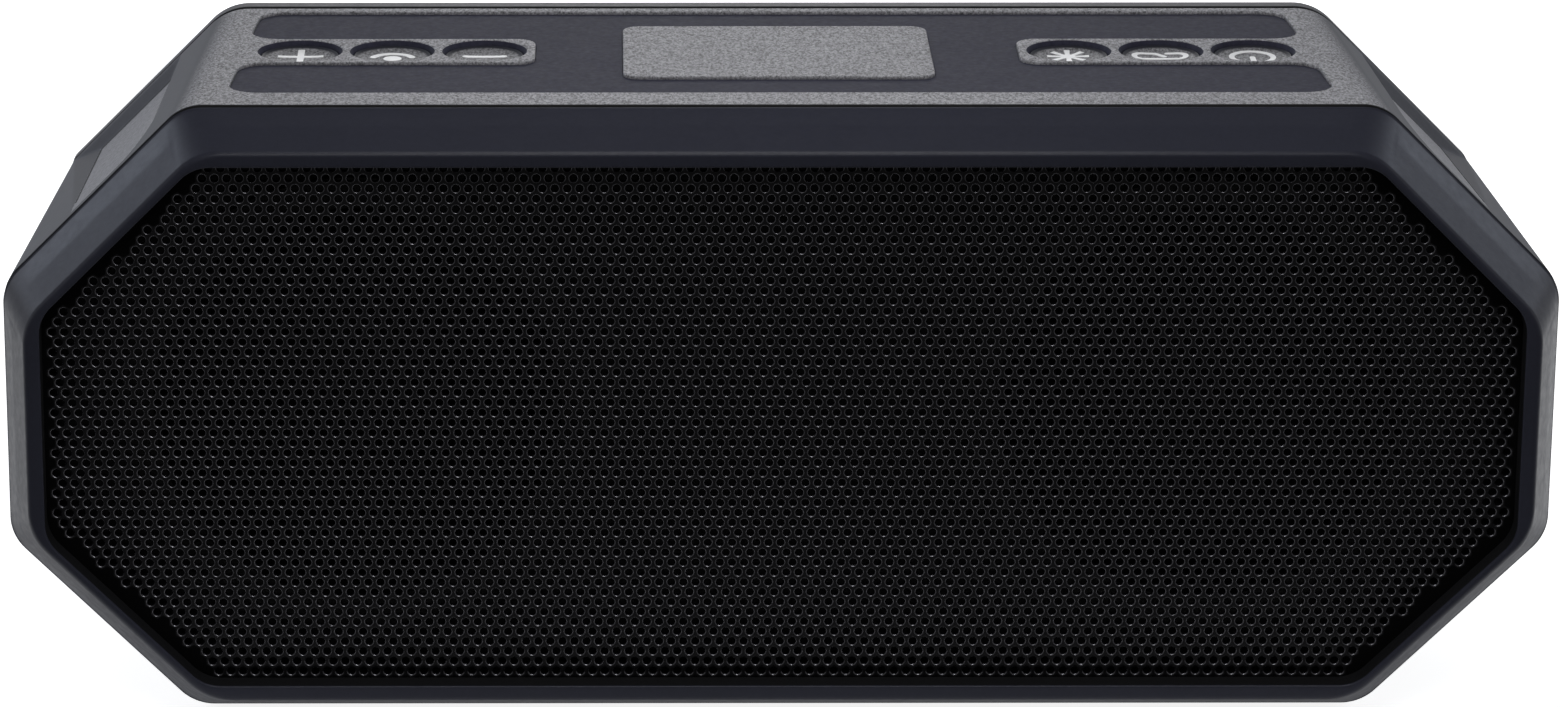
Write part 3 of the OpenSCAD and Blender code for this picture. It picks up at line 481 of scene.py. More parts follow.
# Painted shade: a thin dark strip in the creases behind and below the scoop's floor
SCOOP_SHADE_REAR_Q = 44.6
SCOOP_SHADE_REAR_HALF = 0.6
SCOOP_SHADE_REAR_SPAN = (6.3, -6.6)
SCOOP_SHADE_LOWER_P = -4.1
SCOOP_SHADE_LOWER_LEAN = 0.0613
SCOOP_SHADE_LOWER_HALF = 0.2
SCOOP_SHADE_LOWER_SPAN = (44.0, 7.5)
SCOOP_SHADE_RISE = 0.05
SCOOP_SHADE_SINK = 0.25

INLAY_EDGE = [(-0.02, -INLAY_T + 0.02), (-0.02, -0.06), (-0.05, -0.02), (-0.12, 0.0)]


def inlay_loop(gap):
    """Edge of the dark top recess round the two button islands, grown by gap."""
    front = BUTTON_Y - ISLAND_HALF + gap
    rear = BUTTON_Y + ISLAND_HALF - gap
    r = STRIP_R + gap
    c = ISLAND_R - gap
    island = ISLAND_X + gap
    right = arc(STRIP_FRONT_X + gap - r, INLAY_Y0 - gap + r, r, 270, 360)
    right += arc(STRIP_FRONT_X - STRIP_SLANT + gap - r, front - r, r, 0, 90)
    right += arc(island + c, front + c, c, 270, 180)
    right += arc(island + c, rear - c, c, 180, 90)
    right += arc(STRIP_REAR_X + gap - r, rear + r, r, 270, 360)
    right += arc(STRIP_REAR_X - STRIP_SLANT + gap - r, INLAY_Y1 + gap - r, r, 0, 90)
    return right + [(-x, y) for x, y in reversed(right)]


def badge_loop(gap):
    """Edge of the bare island in the middle of the top, shrunk by gap."""
    half_h = (BADGE_Y1 - BADGE_Y0) / 2
    return rounded(0, (BADGE_Y0 + BADGE_Y1) / 2, BADGE_X - gap, half_h - gap, BADGE_R - gap)


def button_places():
    return [(side * x, BUTTON_Y) for side in (-1, 1) for x in BUTTON_X]


def soft_least(values, k):
    """The least of the values, with a soft change from one to the next."""
    least = functools.reduce(np.minimum, values)
    return least - k * np.log(sum(np.exp((least - v) / k) for v in values))


def scoop_depth(p, q):
    """Depth of the scoop, and where its floor lies, which is painted lighter as painted sheen."""
    bend = np.clip((p - SCOOP_NOSE) / (SCOOP_HIGH - SCOOP_NOSE), 0, 1)
    front = SCOOP_START + SCOOP_BEND * (1 - np.sqrt(1 - bend ** 2))
    ground = SCOOP_DEPTH * (q - front) / (SCOOP_CREASE - front)
    back = SCOOP_DEPTH * (SCOOP_REAR - q) / (SCOOP_REAR - SCOOP_CREASE)
    upper = SCOOP_DEPTH * (SCOOP_HIGH - p) / SCOOP_UPPER_RUN
    above_edge = SCOOP_LOWER_WAY[0] * (p + SCOOP_NOSE) + SCOOP_LOWER_WAY[1] * (q - SCOOP_LOWER_Q)
    lower = SCOOP_DEPTH * above_edge / SCOOP_LOWER_RUN
    least = soft_least([ground, back, upper, lower], SCOOP_SOFT)
    sheen_floor = (ground > 0) & (ground < np.minimum(np.minimum(back, upper), lower))
    steps = np.clip(least / SCOOP_EDGE_SOFT, -50, 500)
    return SCOOP_EDGE_SOFT * np.log1p(np.exp(steps)), sheen_floor


def sleeve_rows():
    """Depth and inset of each ring of the sleeve, with its rounded ends."""
    front = [(SLEEVE_Y0, SLEEVE_WALL)] + [(SLEEVE_Y0 + d, inset) for d, inset in EDGE[:-1]]
    rear = [(SLEEVE_Y1 - d, inset) for d, inset in reversed(EDGE[:-1])] + [(SLEEVE_Y1, SLEEVE_WALL)]
    depths = np.linspace(SLEEVE_Y0 + EDGE[-1][0], SLEEVE_Y1 - EDGE[-1][0], SLEEVE_RINGS)
    return front + [(y, 0.0) for y in depths.tolist()] + rear


def sleeve_ring(y, inset, places, on_diagonal):
    """One ring of the sleeve with its scoops, and which of its spots lie on their floors, which are painted
    lighter as painted sheen.
    """
    share = (y - SLEEVE_Y0) / (SLEEVE_Y1 - SLEEVE_Y0)
    spots, normals = ring(shrink(mix(FRONT, REAR, share), inset), places)
    if inset:
        return spots.tolist(), np.zeros(len(places), bool)
    up = (spots[:, 1] - FRONT[1] - np.abs(spots[:, 0]) + FRONT[0]) / ROOT2
    depth, sheen_floor = scoop_depth(up, y - SLEEVE_Y0)
    spots = spots - normals * np.where(on_diagonal, depth, 0.0)[:, None]
    return spots.tolist(), sheen_floor & on_diagonal


def top_face(skin, rim):
    """The sleeve's top inside its rim, with the recess of the inlay and the wells of the keys."""
    gap = RECESS_RIM[0][0]
    wells = [circle(x, y, WELL_RIM[0][0]) for x, y in button_places()]
    skin.fill([rim, inlay_loop(gap), badge_loop(gap)] + wells, TOP_Z)
    for loop in (inlay_loop, badge_loop):
        skin.stack([(loop(gap), TOP_Z + dz) for gap, dz in RECESS_RIM])
    gap, dz = RECESS_RIM[-1]
    skin.fill([inlay_loop(gap), badge_loop(gap)], TOP_Z + dz)
    profile = WELL_RIM + [(WELL_RIM[-1][0], -SLEEVE_WALL)]
    for cx, cy in button_places():
        rows = [skin.add([(x, y, TOP_Z + dz) for x, y in circle(cx, cy, r)]) for r, dz in profile]
        for k, (a, b) in enumerate(zip(rows, rows[1:])):
            skin.band(a, b, paint=WELL if k > 1 else 0)


def sleeve():
    """Outer sleeve: rings along the depth that leave out the top, then the top and the face under it, with
    painted shade on its ends and painted sheen on its scoops' floors.
    """
    skin = Skin()
    diagonal = even(108)
    places = columns(10, [even(6), diagonal, even(46), diagonal, even(6), even(9), even(14), even(9)])
    on_diagonal = np.array([kind == "side" and i in (1, 3) for kind, i, _ in places])
    top = [k for k, (kind, i, _) in enumerate(places) if kind == "side" and i == 2]
    first = top[0] - 1
    last = top[-1] + 1
    over = range(first, last)
    beside = [c for c in range(len(places)) if c not in over]
    rows = sleeve_rows()
    rings = [sleeve_ring(y, inset, places, on_diagonal) for y, inset in rows]
    shape = [spots for spots, _ in rings]
    index = [skin.add([(x, y, z) for x, z in spots]) for (y, _), spots in zip(rows, shape)]
    for k in range(len(rows) - 1):
        flat = rows[k][1] == 0 and rows[k + 1][1] == 0
        start = len(skin.faces)
        # Painted shade: the rounded ends and end faces take the black rubber, which darkens the parting gaps
        skin.band(index[k], index[k + 1], over if flat else (), 0 if flat else SHADE_AND_SEAL)
        if flat:
            # Painted sheen: faces on the scoops' floors take the light grained plastic
            both = rings[k][1] & rings[k + 1][1]
            skin.paint.update({start + n: FLOOR_SHEEN for n, c in enumerate(beside) if both[c]})
    skin.band(index[-1], index[0], over)

    body = [k for k, (_, inset) in enumerate(rows) if inset == 0]
    a, b = body[0], body[-1]
    rim = [(shape[a][k][0], rows[a][0]) for k in range(first, last + 1)]
    rim += [(shape[k][last][0], rows[k][0]) for k in body[1:-1]]
    rim += [(shape[b][k][0], rows[b][0]) for k in range(last, first - 1, -1)]
    rim += [(shape[k][first][0], rows[k][0]) for k in reversed(body[1:-1])]
    top_face(skin, rim)
    under = [(shape[0][k][0], SLEEVE_Y0) for k in range(first, last + 1)]
    under += [(shape[-1][k][0], SLEEVE_Y1) for k in range(last, first - 1, -1)]
    bores = [circle(x, y, WELL_RIM[-1][0]) for x, y in button_places()]
    skin.fill([under] + bores, TOP_Z - SLEEVE_WALL)
    others = [MATERIALS["seal_rubber"], GRAINED_SHEEN, MATERIALS["inlay"]]
    skin.build("sleeve", "housing", "sleeve", ["sleeve_shell"], others=others)


def scoop_crease_shade(name, side):
    """Painted shade: a thin dark strip laid in the crease behind and below the scoop's floor."""
    skin = Skin()
    path = [(p, SCOOP_SHADE_REAR_Q, 0.0, SCOOP_SHADE_REAR_HALF) for p in np.linspace(*SCOOP_SHADE_REAR_SPAN, 12)]
    path += [(SCOOP_SHADE_LOWER_P - SCOOP_SHADE_LOWER_LEAN * (q - SCOOP_LOWER_Q), q, SCOOP_SHADE_LOWER_HALF, 0.0)
             for q in np.linspace(*SCOOP_SHADE_LOWER_SPAN, 16)]
    foot = (FRONT[1] - FRONT[0]) / 2
    rows = []
    for p, q, half_p, half_q in path:
        hw, hh, cut = mix(FRONT, REAR, q / (SLEEVE_Y1 - SLEEVE_Y0))[:3]
        depth = SCOOP_DEPTH * (q - SCOOP_START) / (SCOOP_CREASE - SCOOP_START)
        surface = (hw + hh - cut) / ROOT2 - depth
        section = []
        for sign, rise in ((-1, SCOOP_SHADE_RISE), (1, SCOOP_SHADE_RISE), (1, -SCOOP_SHADE_SINK), (-1, -SCOOP_SHADE_SINK)):
            along = p + sign * half_p
            x = (surface + rise - along) / ROOT2 - foot
            z = (surface + rise + along) / ROOT2 + foot
            section.append((side * x, SLEEVE_Y0 + q + sign * half_q, z))
        rows.append(skin.add(section))
    for a, b in zip(rows, rows[1:]):
        skin.band(a, b)
    skin.face(rows[0])
    skin.face(rows[-1])
    skin.build(name, "housing", "seal_rubber")


def inlay():
    """Dark sheet in the recess of the top, open round the badge island."""
    skin = Skin()
    top = TOP_Z - INLAY_DROP
    for loop in (inlay_loop, badge_loop):
        skin.stack([(loop(gap), top + dz) for gap, dz in INLAY_EDGE])
    for gap, dz in (INLAY_EDGE[0], INLAY_EDGE[-1]):
        skin.fill([inlay_loop(gap), badge_loop(gap)], top + dz)
    skin.build("inlay", "housing", "inlay", ["top_inlay"])


# Keys and their signs

# From the middle of the dished face down to the foot, as (radius, height from the top of the sleeve)
KEY_PROFILE = [(0, -1.12), (1.0, -1.12), (2.2, -1.1), (3.2, -1.03), (3.8, -0.95), (4.2, -0.86), (4.5, -0.75),
               (4.7, -0.65), (4.78, -0.62), (4.8, -0.66), (4.8, -4.15), (5.5, -4.15), (5.5, -5.15),
               (2.0, -5.15), (2.0, -5.95), (0, -5.95)]
DISH = KEY_PROFILE[:8]
SIGN_SINK = 0.05
SIGN_RISE = 0.07
SIGN_SHIFT = 0.9
SIGN_STEP = 0.5
SIGN_LINE = 0.7


def stroke(path, width):
    """Outline of a line of even width with round ends."""
    half = width / 2
    path = [np.array(p, float) for p in path]
    ways = [b - a for a, b in zip(path, path[1:])]
    ways = [w / np.linalg.norm(w) for w in ways]
    bends = [ways[0]] + [a + b for a, b in zip(ways, ways[1:])] + [ways[-1]]
    bends = [w / np.linalg.norm(w) for w in bends]
    left = [tuple(p + half * np.array((-w[1], w[0]))) for p, w in zip(path, bends)]
    right = [tuple(p - half * np.array((-w[1], w[0]))) for p, w in zip(path, bends)]
    turn = math.degrees(math.atan2(ways[-1][1], ways[-1][0]))
    cap = arc(*path[-1], half, turn + 90, turn - 90, 8)[1:-1]
    turn = math.degrees(math.atan2(ways[0][1], ways[0][0]))
    start = arc(*path[0], half, turn - 90, turn - 270, 8)[1:-1]
    return left + cap + right[::-1] + start


def bar(x0, y0, x1, y1, width):
    """A straight line of even width with round ends."""
    return stroke([(x0 + (x1 - x0) * t, y0 + (y1 - y0) * t) for t in (0, 0.2, 0.4, 0.6, 0.8, 1)], width)


def split(loop, step):
    """The loop with its long edges split into short ones."""
    spots = []
    for (ax, ay), (bx, by) in zip(loop, loop[1:] + loop[:1]):
        n = max(1, math.ceil(math.hypot(bx - ax, by - ay) / step))
        spots += [(ax + (bx - ax) * k / n, ay + (by - ay) * k / n) for k in range(n)]
    return spots


def cross_loop(cx, cy, reach, half):
    """Outline of an even cross."""
    spots = [(reach, half), (half, half), (half, reach), (-half, reach), (-half, half), (-reach, half),
             (-reach, -half), (-half, -half), (-half, -reach), (half, -reach), (half, -half), (reach, -half)]
    return [(cx + u, cy + v) for u, v in spots]


def plus_sign():
    return [cross_loop(0, 0, 2.85, 0.42)]


def minus_sign():
    return [bar(-2.4, 0, 2.4, 0, 0.84)]


def play_sign():
    return [circle(0, -0.9, 1.15, 32), stroke(arc(0, -1.3, 2.6, 20, 160, 24), 0.8)]


def light_sign():
    """A lamp sign: eight rays on a small hub."""
    spots = []
    for k in range(8):
        a = math.pi * k / 4
        for r, turn in ((0.95, -0.3), (2.65, -0.14), (2.65, 0.14), (0.95, 0.3)):
            spots.append((r * math.cos(a + turn), r * math.sin(a + turn)))
    return [spots]


def pairing_sign():
    """A flat loop, broken in its rear line, where one end dips into the loop."""
    half = 2.0
    r = 1.25
    left_end = arc(-half, 0, r, 90, 270, 12)
    right_end = arc(half, 0, r, -90, 90, 12)
    return [stroke([(0.5, -0.05), (-0.4, 1.1), (-0.9, r)] + left_end + right_end + [(1.0, r)], SIGN_LINE)]


def power_sign():
    return [stroke(arc(0, -0.5, 2.6, -48, 228, 40), SIGN_LINE), bar(0, -3.2, 0, -0.4, SIGN_LINE)]


KEYS = [("volume_up_button", -BUTTON_X[2], plus_sign), ("play_button", -BUTTON_X[1], play_sign),
        ("volume_down_button", -BUTTON_X[0], minus_sign), ("light_button", BUTTON_X[0], light_sign),
        ("pairing_button", BUTTON_X[1], pairing_sign), ("power_button", BUTTON_X[2], power_sign)]


def on_dish(x, u, v, rise):
    """A place above the dished face of the key whose axis is at x."""
    r = math.hypot(u - x, v - BUTTON_Y)
    return (u, v, TOP_Z + float(np.interp(r, *zip(*DISH))) + rise)


def key(node, x, sign):
    """One key and the sign printed on its dish."""
    skin = Skin()
    skin.lathe(x, BUTTON_Y, [(r, TOP_Z + z) for r, z in KEY_PROFILE])
    skin.build(node.replace("_button", "_key"), node, "keys", [node])
    mark = Skin()
    lift = functools.partial(on_dish, x)
    for loop in sign():
        placed = [(x + u, BUTTON_Y + SIGN_SHIFT + v) for u, v in split(loop, SIGN_STEP)]
        mark.stack([(placed, -SIGN_SINK), (placed, SIGN_RISE)], lift)
        for rise in (-SIGN_SINK, SIGN_RISE):
            mark.fill([placed], rise, lift)
    mark.build(node.replace("_button", "_sign"), node, "keys", material=ICON_PAINT)


# Front

BEZEL_SIDES = [27.4, 26.5, 140.4, 26.5] * 2
BEZEL_BACK = BEZEL_D - 0.15
BEZEL_BACK_EDGE = [(0.0, 0.35), (0.05, 0.16), (0.16, 0.05)]
LIP_EDGE = [(0.0, -0.3), (0.03, -0.14), (0.12, -0.03), (0.3, 0.0), (LIP_D, 0.0)]

# The slope of the bezel, the angle between it and the land, and the rounded ridge where they meet
SLOPE_L = 9.2
SLOPE_ROWS = 40
SLOPE_TURN = math.atan2(0.928, 0.373)
RIDGE_R = 0.74
RIDGE_STEPS = 8

# Faint crease along the slope: its height, its place as a share of the slope and the length of its ends
CREASE_H = 0.15
CREASE_AT = 0.45
CREASE_SOFT = 0.05
CREASE_END = 4.0

# The grille's cells: spacing, holes, bright rims round them and the limits of the field of holes
PITCH = 1.49
HOLE_R = 0.46
HOLE_RIM = 0.14
HOLE_STEPS = 12
CELL_R = PITCH / math.sqrt(3)
CELL_TURNS = [math.radians(30 + 60 * k) for k in range(6)]
CELL_SPARE = 1.08
HALF_ROWS = 30
HALF_COLUMNS = 66
FIELD_HALF_W = 89.0
FIELD_DIAGONAL = 101.6
SHEET_GAP = 0.3

# Further materials of the grille; the near-black paint on its plain edge is painted shade
HOLE_PAINT = 1
EDGE_SHADE = 2


def crease_height(places, share):
    """How far the slope bulges at its crease, with round ends near the corners; share runs to the ridge."""
    hw, hh, cut, r = FRONT[:4]
    spare = 2 * r * math.tan(math.pi / 8)
    lengths = [2 * (hh - cut), cut * ROOT2, 2 * (hw - cut), cut * ROOT2]
    rise = soft_least([share / CREASE_AT, (1 - share) / (1 - CREASE_AT)], CREASE_SOFT)
    height = []
    for kind, i, t in places:
        run = min(t, 1 - t) * (lengths[i % 4] - spare) if kind == "side" else 0.0
        back = 1 - min(run / CREASE_END, 1)
        height.append(CREASE_H * max(rise, 0) * math.sqrt(1 - back ** 2))
    return np.array(height)


def front_bezel():
    """Front ring: the slope, the ridge, the land and the lip, then the rebate and the tongue behind them."""
    skin = Skin()
    places = columns(14, [tight(length, 0.25, 5.0, 5.0) for length in BEZEL_SIDES])
    rows = [(BEZEL_BACK - d, shrink(FRONT, inset), 0) for d, inset in BEZEL_BACK_EDGE]
    reach = RIDGE_R * math.tan(SLOPE_TURN / 2)
    for t in np.linspace(0.05, 1 - reach / SLOPE_L, SLOPE_ROWS):
        rows.append((BEZEL_D * (1 - t), mix(FRONT, RIDGE, t), t))
    for k in range(RIDGE_STEPS - 1, -1, -1):
        a = SLOPE_TURN * k / RIDGE_STEPS
        rows.append((RIDGE_R * (1 - math.cos(a)), shrink(RIDGE, reach - RIDGE_R * math.sin(a)), 0))
    rows += [(y, shrink(OPENING, inset), 0) for y, inset in LIP_EDGE]
    rows += [(LIP_D, shrink(FRONT, REBATE_IN), 0), (TONGUE_Y, shrink(FRONT, REBATE_IN), 0),
             (TONGUE_Y, shrink(FRONT, TONGUE_IN), 0), (BEZEL_BACK, shrink(FRONT, TONGUE_IN), 0)]
    index = []
    for y, outline, share in rows:
        spots, normals = ring(outline, places)
        if share:
            spots = spots + normals * crease_height(places, share)[:, None]
        index.append(skin.add([(x, y, z) for x, z in spots.tolist()]))
    lip = [y for y, _, _ in rows].index(LIP_D)
    # The lip's inner wall takes the black rubber
    for k, (a, b) in enumerate(zip(index, index[1:] + index[:1])):
        skin.band(a, b, paint=SHADE_AND_SEAL if k == lip - 1 else 0)
    skin.build("bezel", "housing", "bezel", ["front_bezel"], others=[MATERIALS["seal_rubber"]])


def hole_centres(edge):
    """Middles of the cells that fit inside the sheet's edge and the field of holes."""
    row_h = PITCH * math.sqrt(3) / 2
    centres = []
    for j in range(-HALF_ROWS, HALF_ROWS + 1):
        centres += [((i + (j % 2) / 2) * PITCH, j * row_h) for i in range(-HALF_COLUMNS, HALF_COLUMNS + 1)]
    centres = np.array(centres)
    fits = (np.abs(centres[:, 0]) < FIELD_HALF_W) & (np.abs(centres).sum(axis=1) < FIELD_DIAGONAL)
    for a in CELL_TURNS:
        fits &= inside(centres + CELL_SPARE * CELL_R * np.array((math.cos(a), math.sin(a))), [edge])
    return centres[fits].tolist()


def border(cells):
    """The corners round all cells together, in order."""
    uses = {}
    for cell in cells:
        for a, b in zip(cell, cell[1:] + cell[:1]):
            edge = (min(a, b), max(a, b))
            uses[edge] = uses.get(edge, 0) + 1
    ends = {}
    for (a, b), count in uses.items():
        if count == 1:
            ends.setdefault(a, []).append(b)
            ends.setdefault(b, []).append(a)
    loop = [min(ends)]
    ahead = ends[loop[0]][0]
    while ahead != loop[0]:
        loop.append(ahead)
        ahead = [n for n in ends[ahead] if n != loop[-2]][0]
    return loop


def grille():
    """Perforated sheet: hexagonal cells, each with a round hole, and a plain edge painted near black as
    painted shade.
    """
    skin = Skin()
    y0 = LIP_D
    y1 = LIP_D + SHEET_T
    edge_spots, _ = ring(shrink(FRONT, REBATE_IN + SHEET_GAP), columns(8, [[]] * 8))
    edge = [tuple(p) for p in edge_spots.tolist()]
    centres = hole_centres(edge)
    numbers = {}
    cells = []
    for cx, cz in centres:
        corners = [(cx + CELL_R * math.cos(a), cz + CELL_R * math.sin(a)) for a in CELL_TURNS]
        cells.append([numbers.setdefault((round(x, 4), round(z, 4)), len(numbers)) for x, z in corners])
    spots = list(numbers)
    front = skin.add([(x, y0, z) for x, z in spots])
    back = skin.add([(x, y1, z) for x, z in spots])
    for (cx, cz), cell in zip(centres, cells):
        wall = ((HOLE_R + HOLE_RIM, y0), (HOLE_R, y0 + HOLE_RIM), (HOLE_R, y1))
        near, bend, far = [skin.add([(x, y, z) for x, z in arc(cx, cz, r, 30, 390, HOLE_STEPS)[:-1]])
                           for r, y in wall]
        skin.band(near, bend, paint=HOLE_PAINT)
        skin.band(bend, far)
        for side, hub in ((front, near), (back, far)):
            for k in range(6):
                inner = (hub[(2 * k + 2) % HOLE_STEPS], hub[2 * k + 1], hub[2 * k])
                skin.face((side[cell[k]], side[cell[(k + 1) % 6]], *inner))
    jagged = [spots[k] for k in border(cells)]
    for y in (y0, y1):
        skin.fill([edge, jagged], y, facing_back, EDGE_SHADE)
    skin.stack([(edge, y0), (edge, y1)], facing_back)
    others = [GRILLE_RIM, GRILLE_EDGE_SHADE]
    skin.build("grille", "housing", "grille_steel", ["front_grille"], sharp=60, others=others)


# Rear

# The rear ring as (depth, inset): edge from its front end, bend into the slope, rim from its rear end
REAR_SIDES = [35.0, 22.6, 136.4, 22.6] * 2
REAR_EDGE = [(0.0, 0.45), (0.04, 0.22), (0.15, 0.07), (0.35, 0.0)]
REAR_BEND = [(60.1, 0.0), (60.35, 0.03), (60.6, 0.12), (60.85, 0.28)]
REAR_RIM = [(-0.4, 3.72), (-0.2, 3.9), (-0.06, 4.08), (0.0, 4.3), (0.0, 5.3), (-0.05, 5.45), (-0.2, 5.6)]
REAR_HOLLOW_IN = 4.2

# Screws as (radius, height from the rear wall), and the slot's reach and half width at its top and foot
SCREW_X = 73.5
SCREW_Z = 23.98
SCREW_SHANK = [(0, -16.9), (1.0, -16.9), (1.4, -16.1), (1.4, -0.3), (2.1, -0.3), (2.1, 0.2), (0, 0.2)]
SCREW_HEAD = [(2.4, 0.0), (2.4, 0.9), (2.34, 1.2), (2.15, 1.5), (1.8, 1.7), (1.5, 1.78)]
SCREW_SLOT = (1.15, 0.3)
SCREW_SLOT_FOOT = (0.95, 0.22)
SCREW_SLOT_D = 0.9

# Port cover with its tab, and its edges as (depth from the inner or outer face, growth)
COVER_X = 60.0
COVER_Z = -8.0
COVER_W = 26.0
COVER_H = 14.0
COVER_T = 1.1
COVER_R = 2.5
COVER_BACK_EDGE = [(0.0, -0.5), (0.08, -0.22), (0.25, -0.05), (0.5, 0.0)]
COVER_FACE_EDGE = [(0.3, -0.04), (0.1, -0.18), (0.0, -0.45)]
TAB_W = 8.0
TAB_H = 1.6
TAB_R = 0.8

# Its sunk line and its plug: half width, half height and radius, then (inset, height) along the walls
LINE = (11.4, 5.4, 1.6)
LINE_WALL = [(0.0, 0.0), (0.15, -0.16), (0.4, -0.16), (0.55, 0.0)]
PLUG = (6.0, 3.25, 3.2)
PLUG_WALL = [(0.0, 0.05), (0.0, -0.6), (0.08, -0.8), (0.3, -0.9)]

# Radiator plate as (radius, height from the rear wall)
PLATE_PROFILE = [(0, -3.0), (17.4, -3.0), (17.6, -2.8), (17.6, -0.2), (17.4, 0.0), (14.2, 0.0),
                 (13.95, -0.05), (13.4, -0.4), (12.9, -0.55), (6.6, -0.75), (6.1, -0.7), (5.7, -0.45),
                 (5.3, -0.2), (4.9, -0.15), (0, -0.15)]

# Surrounds: middle radius, radius of the roll and width of its lips
RADIATOR_ROLL = (20.05, 3.05, 2.4)
CONE_ROLL = (22.65, 1.65, 0.8)
CONE_X = 52.0
CONE_Y = 10.5
ROLL_T = 0.6
ROLL_PARTS = 12
ROLL_STEPS = 12
ROLL_SOFT = 0.15

# Feet: the edge as (height, growth), and the three grooves in each sole
FOOT_X = 50.0
FOOT_Y = [17.5, 48.9]
FOOT_L = 30.0
FOOT_W = 8.0
FOOT_EDGE = [(-37.7, 0.0), (-38.85, 0.0), (-39.1, -0.06), (-39.24, -0.2), (-39.3, -0.5)]
GROOVE_HALF_L = 10.5
GROOVE_R = 0.45
GROOVE_D = 0.4
GROOVE_STEP = 2.0


def rear_bezel():
    """Rear ring with a slope and a rim at its end, hollow for the rear wall."""
    skin = Skin()
    places = columns(12, [tight(length, 0.5, 2.0, 6.0) for length in REAR_SIDES])
    rows = [(REAR_Y0 + d, inset) for d, inset in REAR_EDGE] + REAR_BEND
    rows += [(BODY_D + d, inset) for d, inset in REAR_RIM]
    rows += [(WALL_Y, REAR_RIM[-1][1]), (WALL_Y, REAR_HOLLOW_IN), (REAR_TONGUE_Y, REAR_HOLLOW_IN),
             (REAR_TONGUE_Y, TONGUE_IN), (REAR_Y0, TONGUE_IN)]
    index = []
    for y, inset in rows:
        spots, _ = ring(shrink(REAR, inset), places)
        index.append(skin.add([(x, y, z) for x, z in spots.tolist()]))
    # Painted shade: the rounded front edge takes the black rubber, which darkens the parting gap
    for k, (a, b) in enumerate(zip(index, index[1:] + index[:1])):
        skin.band(a, b, paint=SHADE_AND_SEAL if k < len(REAR_EDGE) - 1 else 0)
    skin.build("rear_rim", "housing", "rear_shell", ["rear_bezel"], others=[MATERIALS["seal_rubber"]])


def rear_screw_set():
    """Four round heads with a cross slot, each on its shank."""
    skin = Skin()
    top = WALL_Y + SCREW_HEAD[-1][1]
    foot = top - SCREW_SLOT_D
    for cx, cz in [(sx * SCREW_X, sz * SCREW_Z) for sx in (-1, 1) for sz in (-1, 1)]:
        skin.lathe(cx, cz, [(r, WALL_Y + h) for r, h in SCREW_SHANK], 24, facing_back)
        head = [(circle(cx, cz, r, 48), WALL_Y + h) for r, h in SCREW_HEAD]
        slot = cross_loop(cx, cz, *SCREW_SLOT)
        deep = cross_loop(cx, cz, *SCREW_SLOT_FOOT)
        skin.stack(head, facing_back)
        skin.fill([head[-1][0], slot], top, facing_back)
        skin.stack([(slot, top), (deep, foot)], facing_back)
        skin.fill([deep], foot, facing_back)
        skin.fill([head[0][0]], WALL_Y, facing_back)
    skin.build("rear_screw_set", "housing", "screw_steel", ["rear_screws"])


def cover_loop(gap):
    """Outline of the port cover with its finger tab, grown by gap."""
    x = COVER_W / 2 - COVER_R
    z = COVER_H / 2 - COVER_R
    r = COVER_R + gap
    tab_x = TAB_W / 2
    tab_z = COVER_H / 2 + TAB_H - TAB_R
    right = arc(x, -z, r, 270, 360) + arc(x, z, r, 0, 90) + [(tab_x + gap, COVER_H / 2 + gap)]
    right += arc(tab_x - TAB_R, tab_z, TAB_R + gap, 0, 90)
    both = right + [(-u, v) for u, v in reversed(right)]
    return [(COVER_X + u, COVER_Z + v) for u, v in both]


def round_loop(size, inset):
    """A rounded rectangle about the port, drawn in by the inset."""
    return rounded(COVER_X, COVER_Z, *[value - inset for value in size])


def port_flap():
    """Rubber cover with soft edges, a sunk line round its face and the plug behind it."""
    skin = Skin()
    back = WALL_Y - COVER_T
    edge = [(cover_loop(gap), back + d) for d, gap in COVER_BACK_EDGE]
    edge += [(cover_loop(gap), WALL_Y - d) for d, gap in COVER_FACE_EDGE]
    line = [(round_loop(LINE, inset), WALL_Y + h) for inset, h in LINE_WALL]
    plug = [(round_loop(PLUG, inset), back + h) for inset, h in PLUG_WALL]
    for wall in (edge, line, plug):
        skin.stack(wall, facing_back)
    skin.fill([edge[-1][0], line[0][0]], WALL_Y, facing_back)
    for loop, y in (edge[0], line[-1], plug[0], plug[-1]):
        skin.fill([loop], y, facing_back)
    skin.build("port_flap", "port_cover", "seal_rubber", ["port_cover"])


def radiator_disc():
    """Dished plate of the passive radiator."""
    skin = Skin()
    skin.lathe(0, 0, [(r, WALL_Y + h) for r, h in PLATE_PROFILE], 96, facing_back)
    skin.build("radiator_disc", "radiator", "radiator_weight", ["radiator_plate"])


def roll_section(mid, r, lip):
    """Cross section of a rubber surround: a half roll between two flat lips, as (radius, height)."""
    low = math.degrees(math.asin(ROLL_T / r))
    inner = mid - r - lip
    outer = mid + r + lip
    over = arc(mid, 0, r, 180 - low, low, 20)
    under = arc(mid, 0, r - ROLL_T, 0, 180, 16)
    start = [(inner, 0), (inner, ROLL_T - ROLL_SOFT), (inner + ROLL_SOFT, ROLL_T)]
    end = [(outer - ROLL_SOFT, ROLL_T), (outer, ROLL_T - ROLL_SOFT), (outer, 0)]
    return start + over + end + under


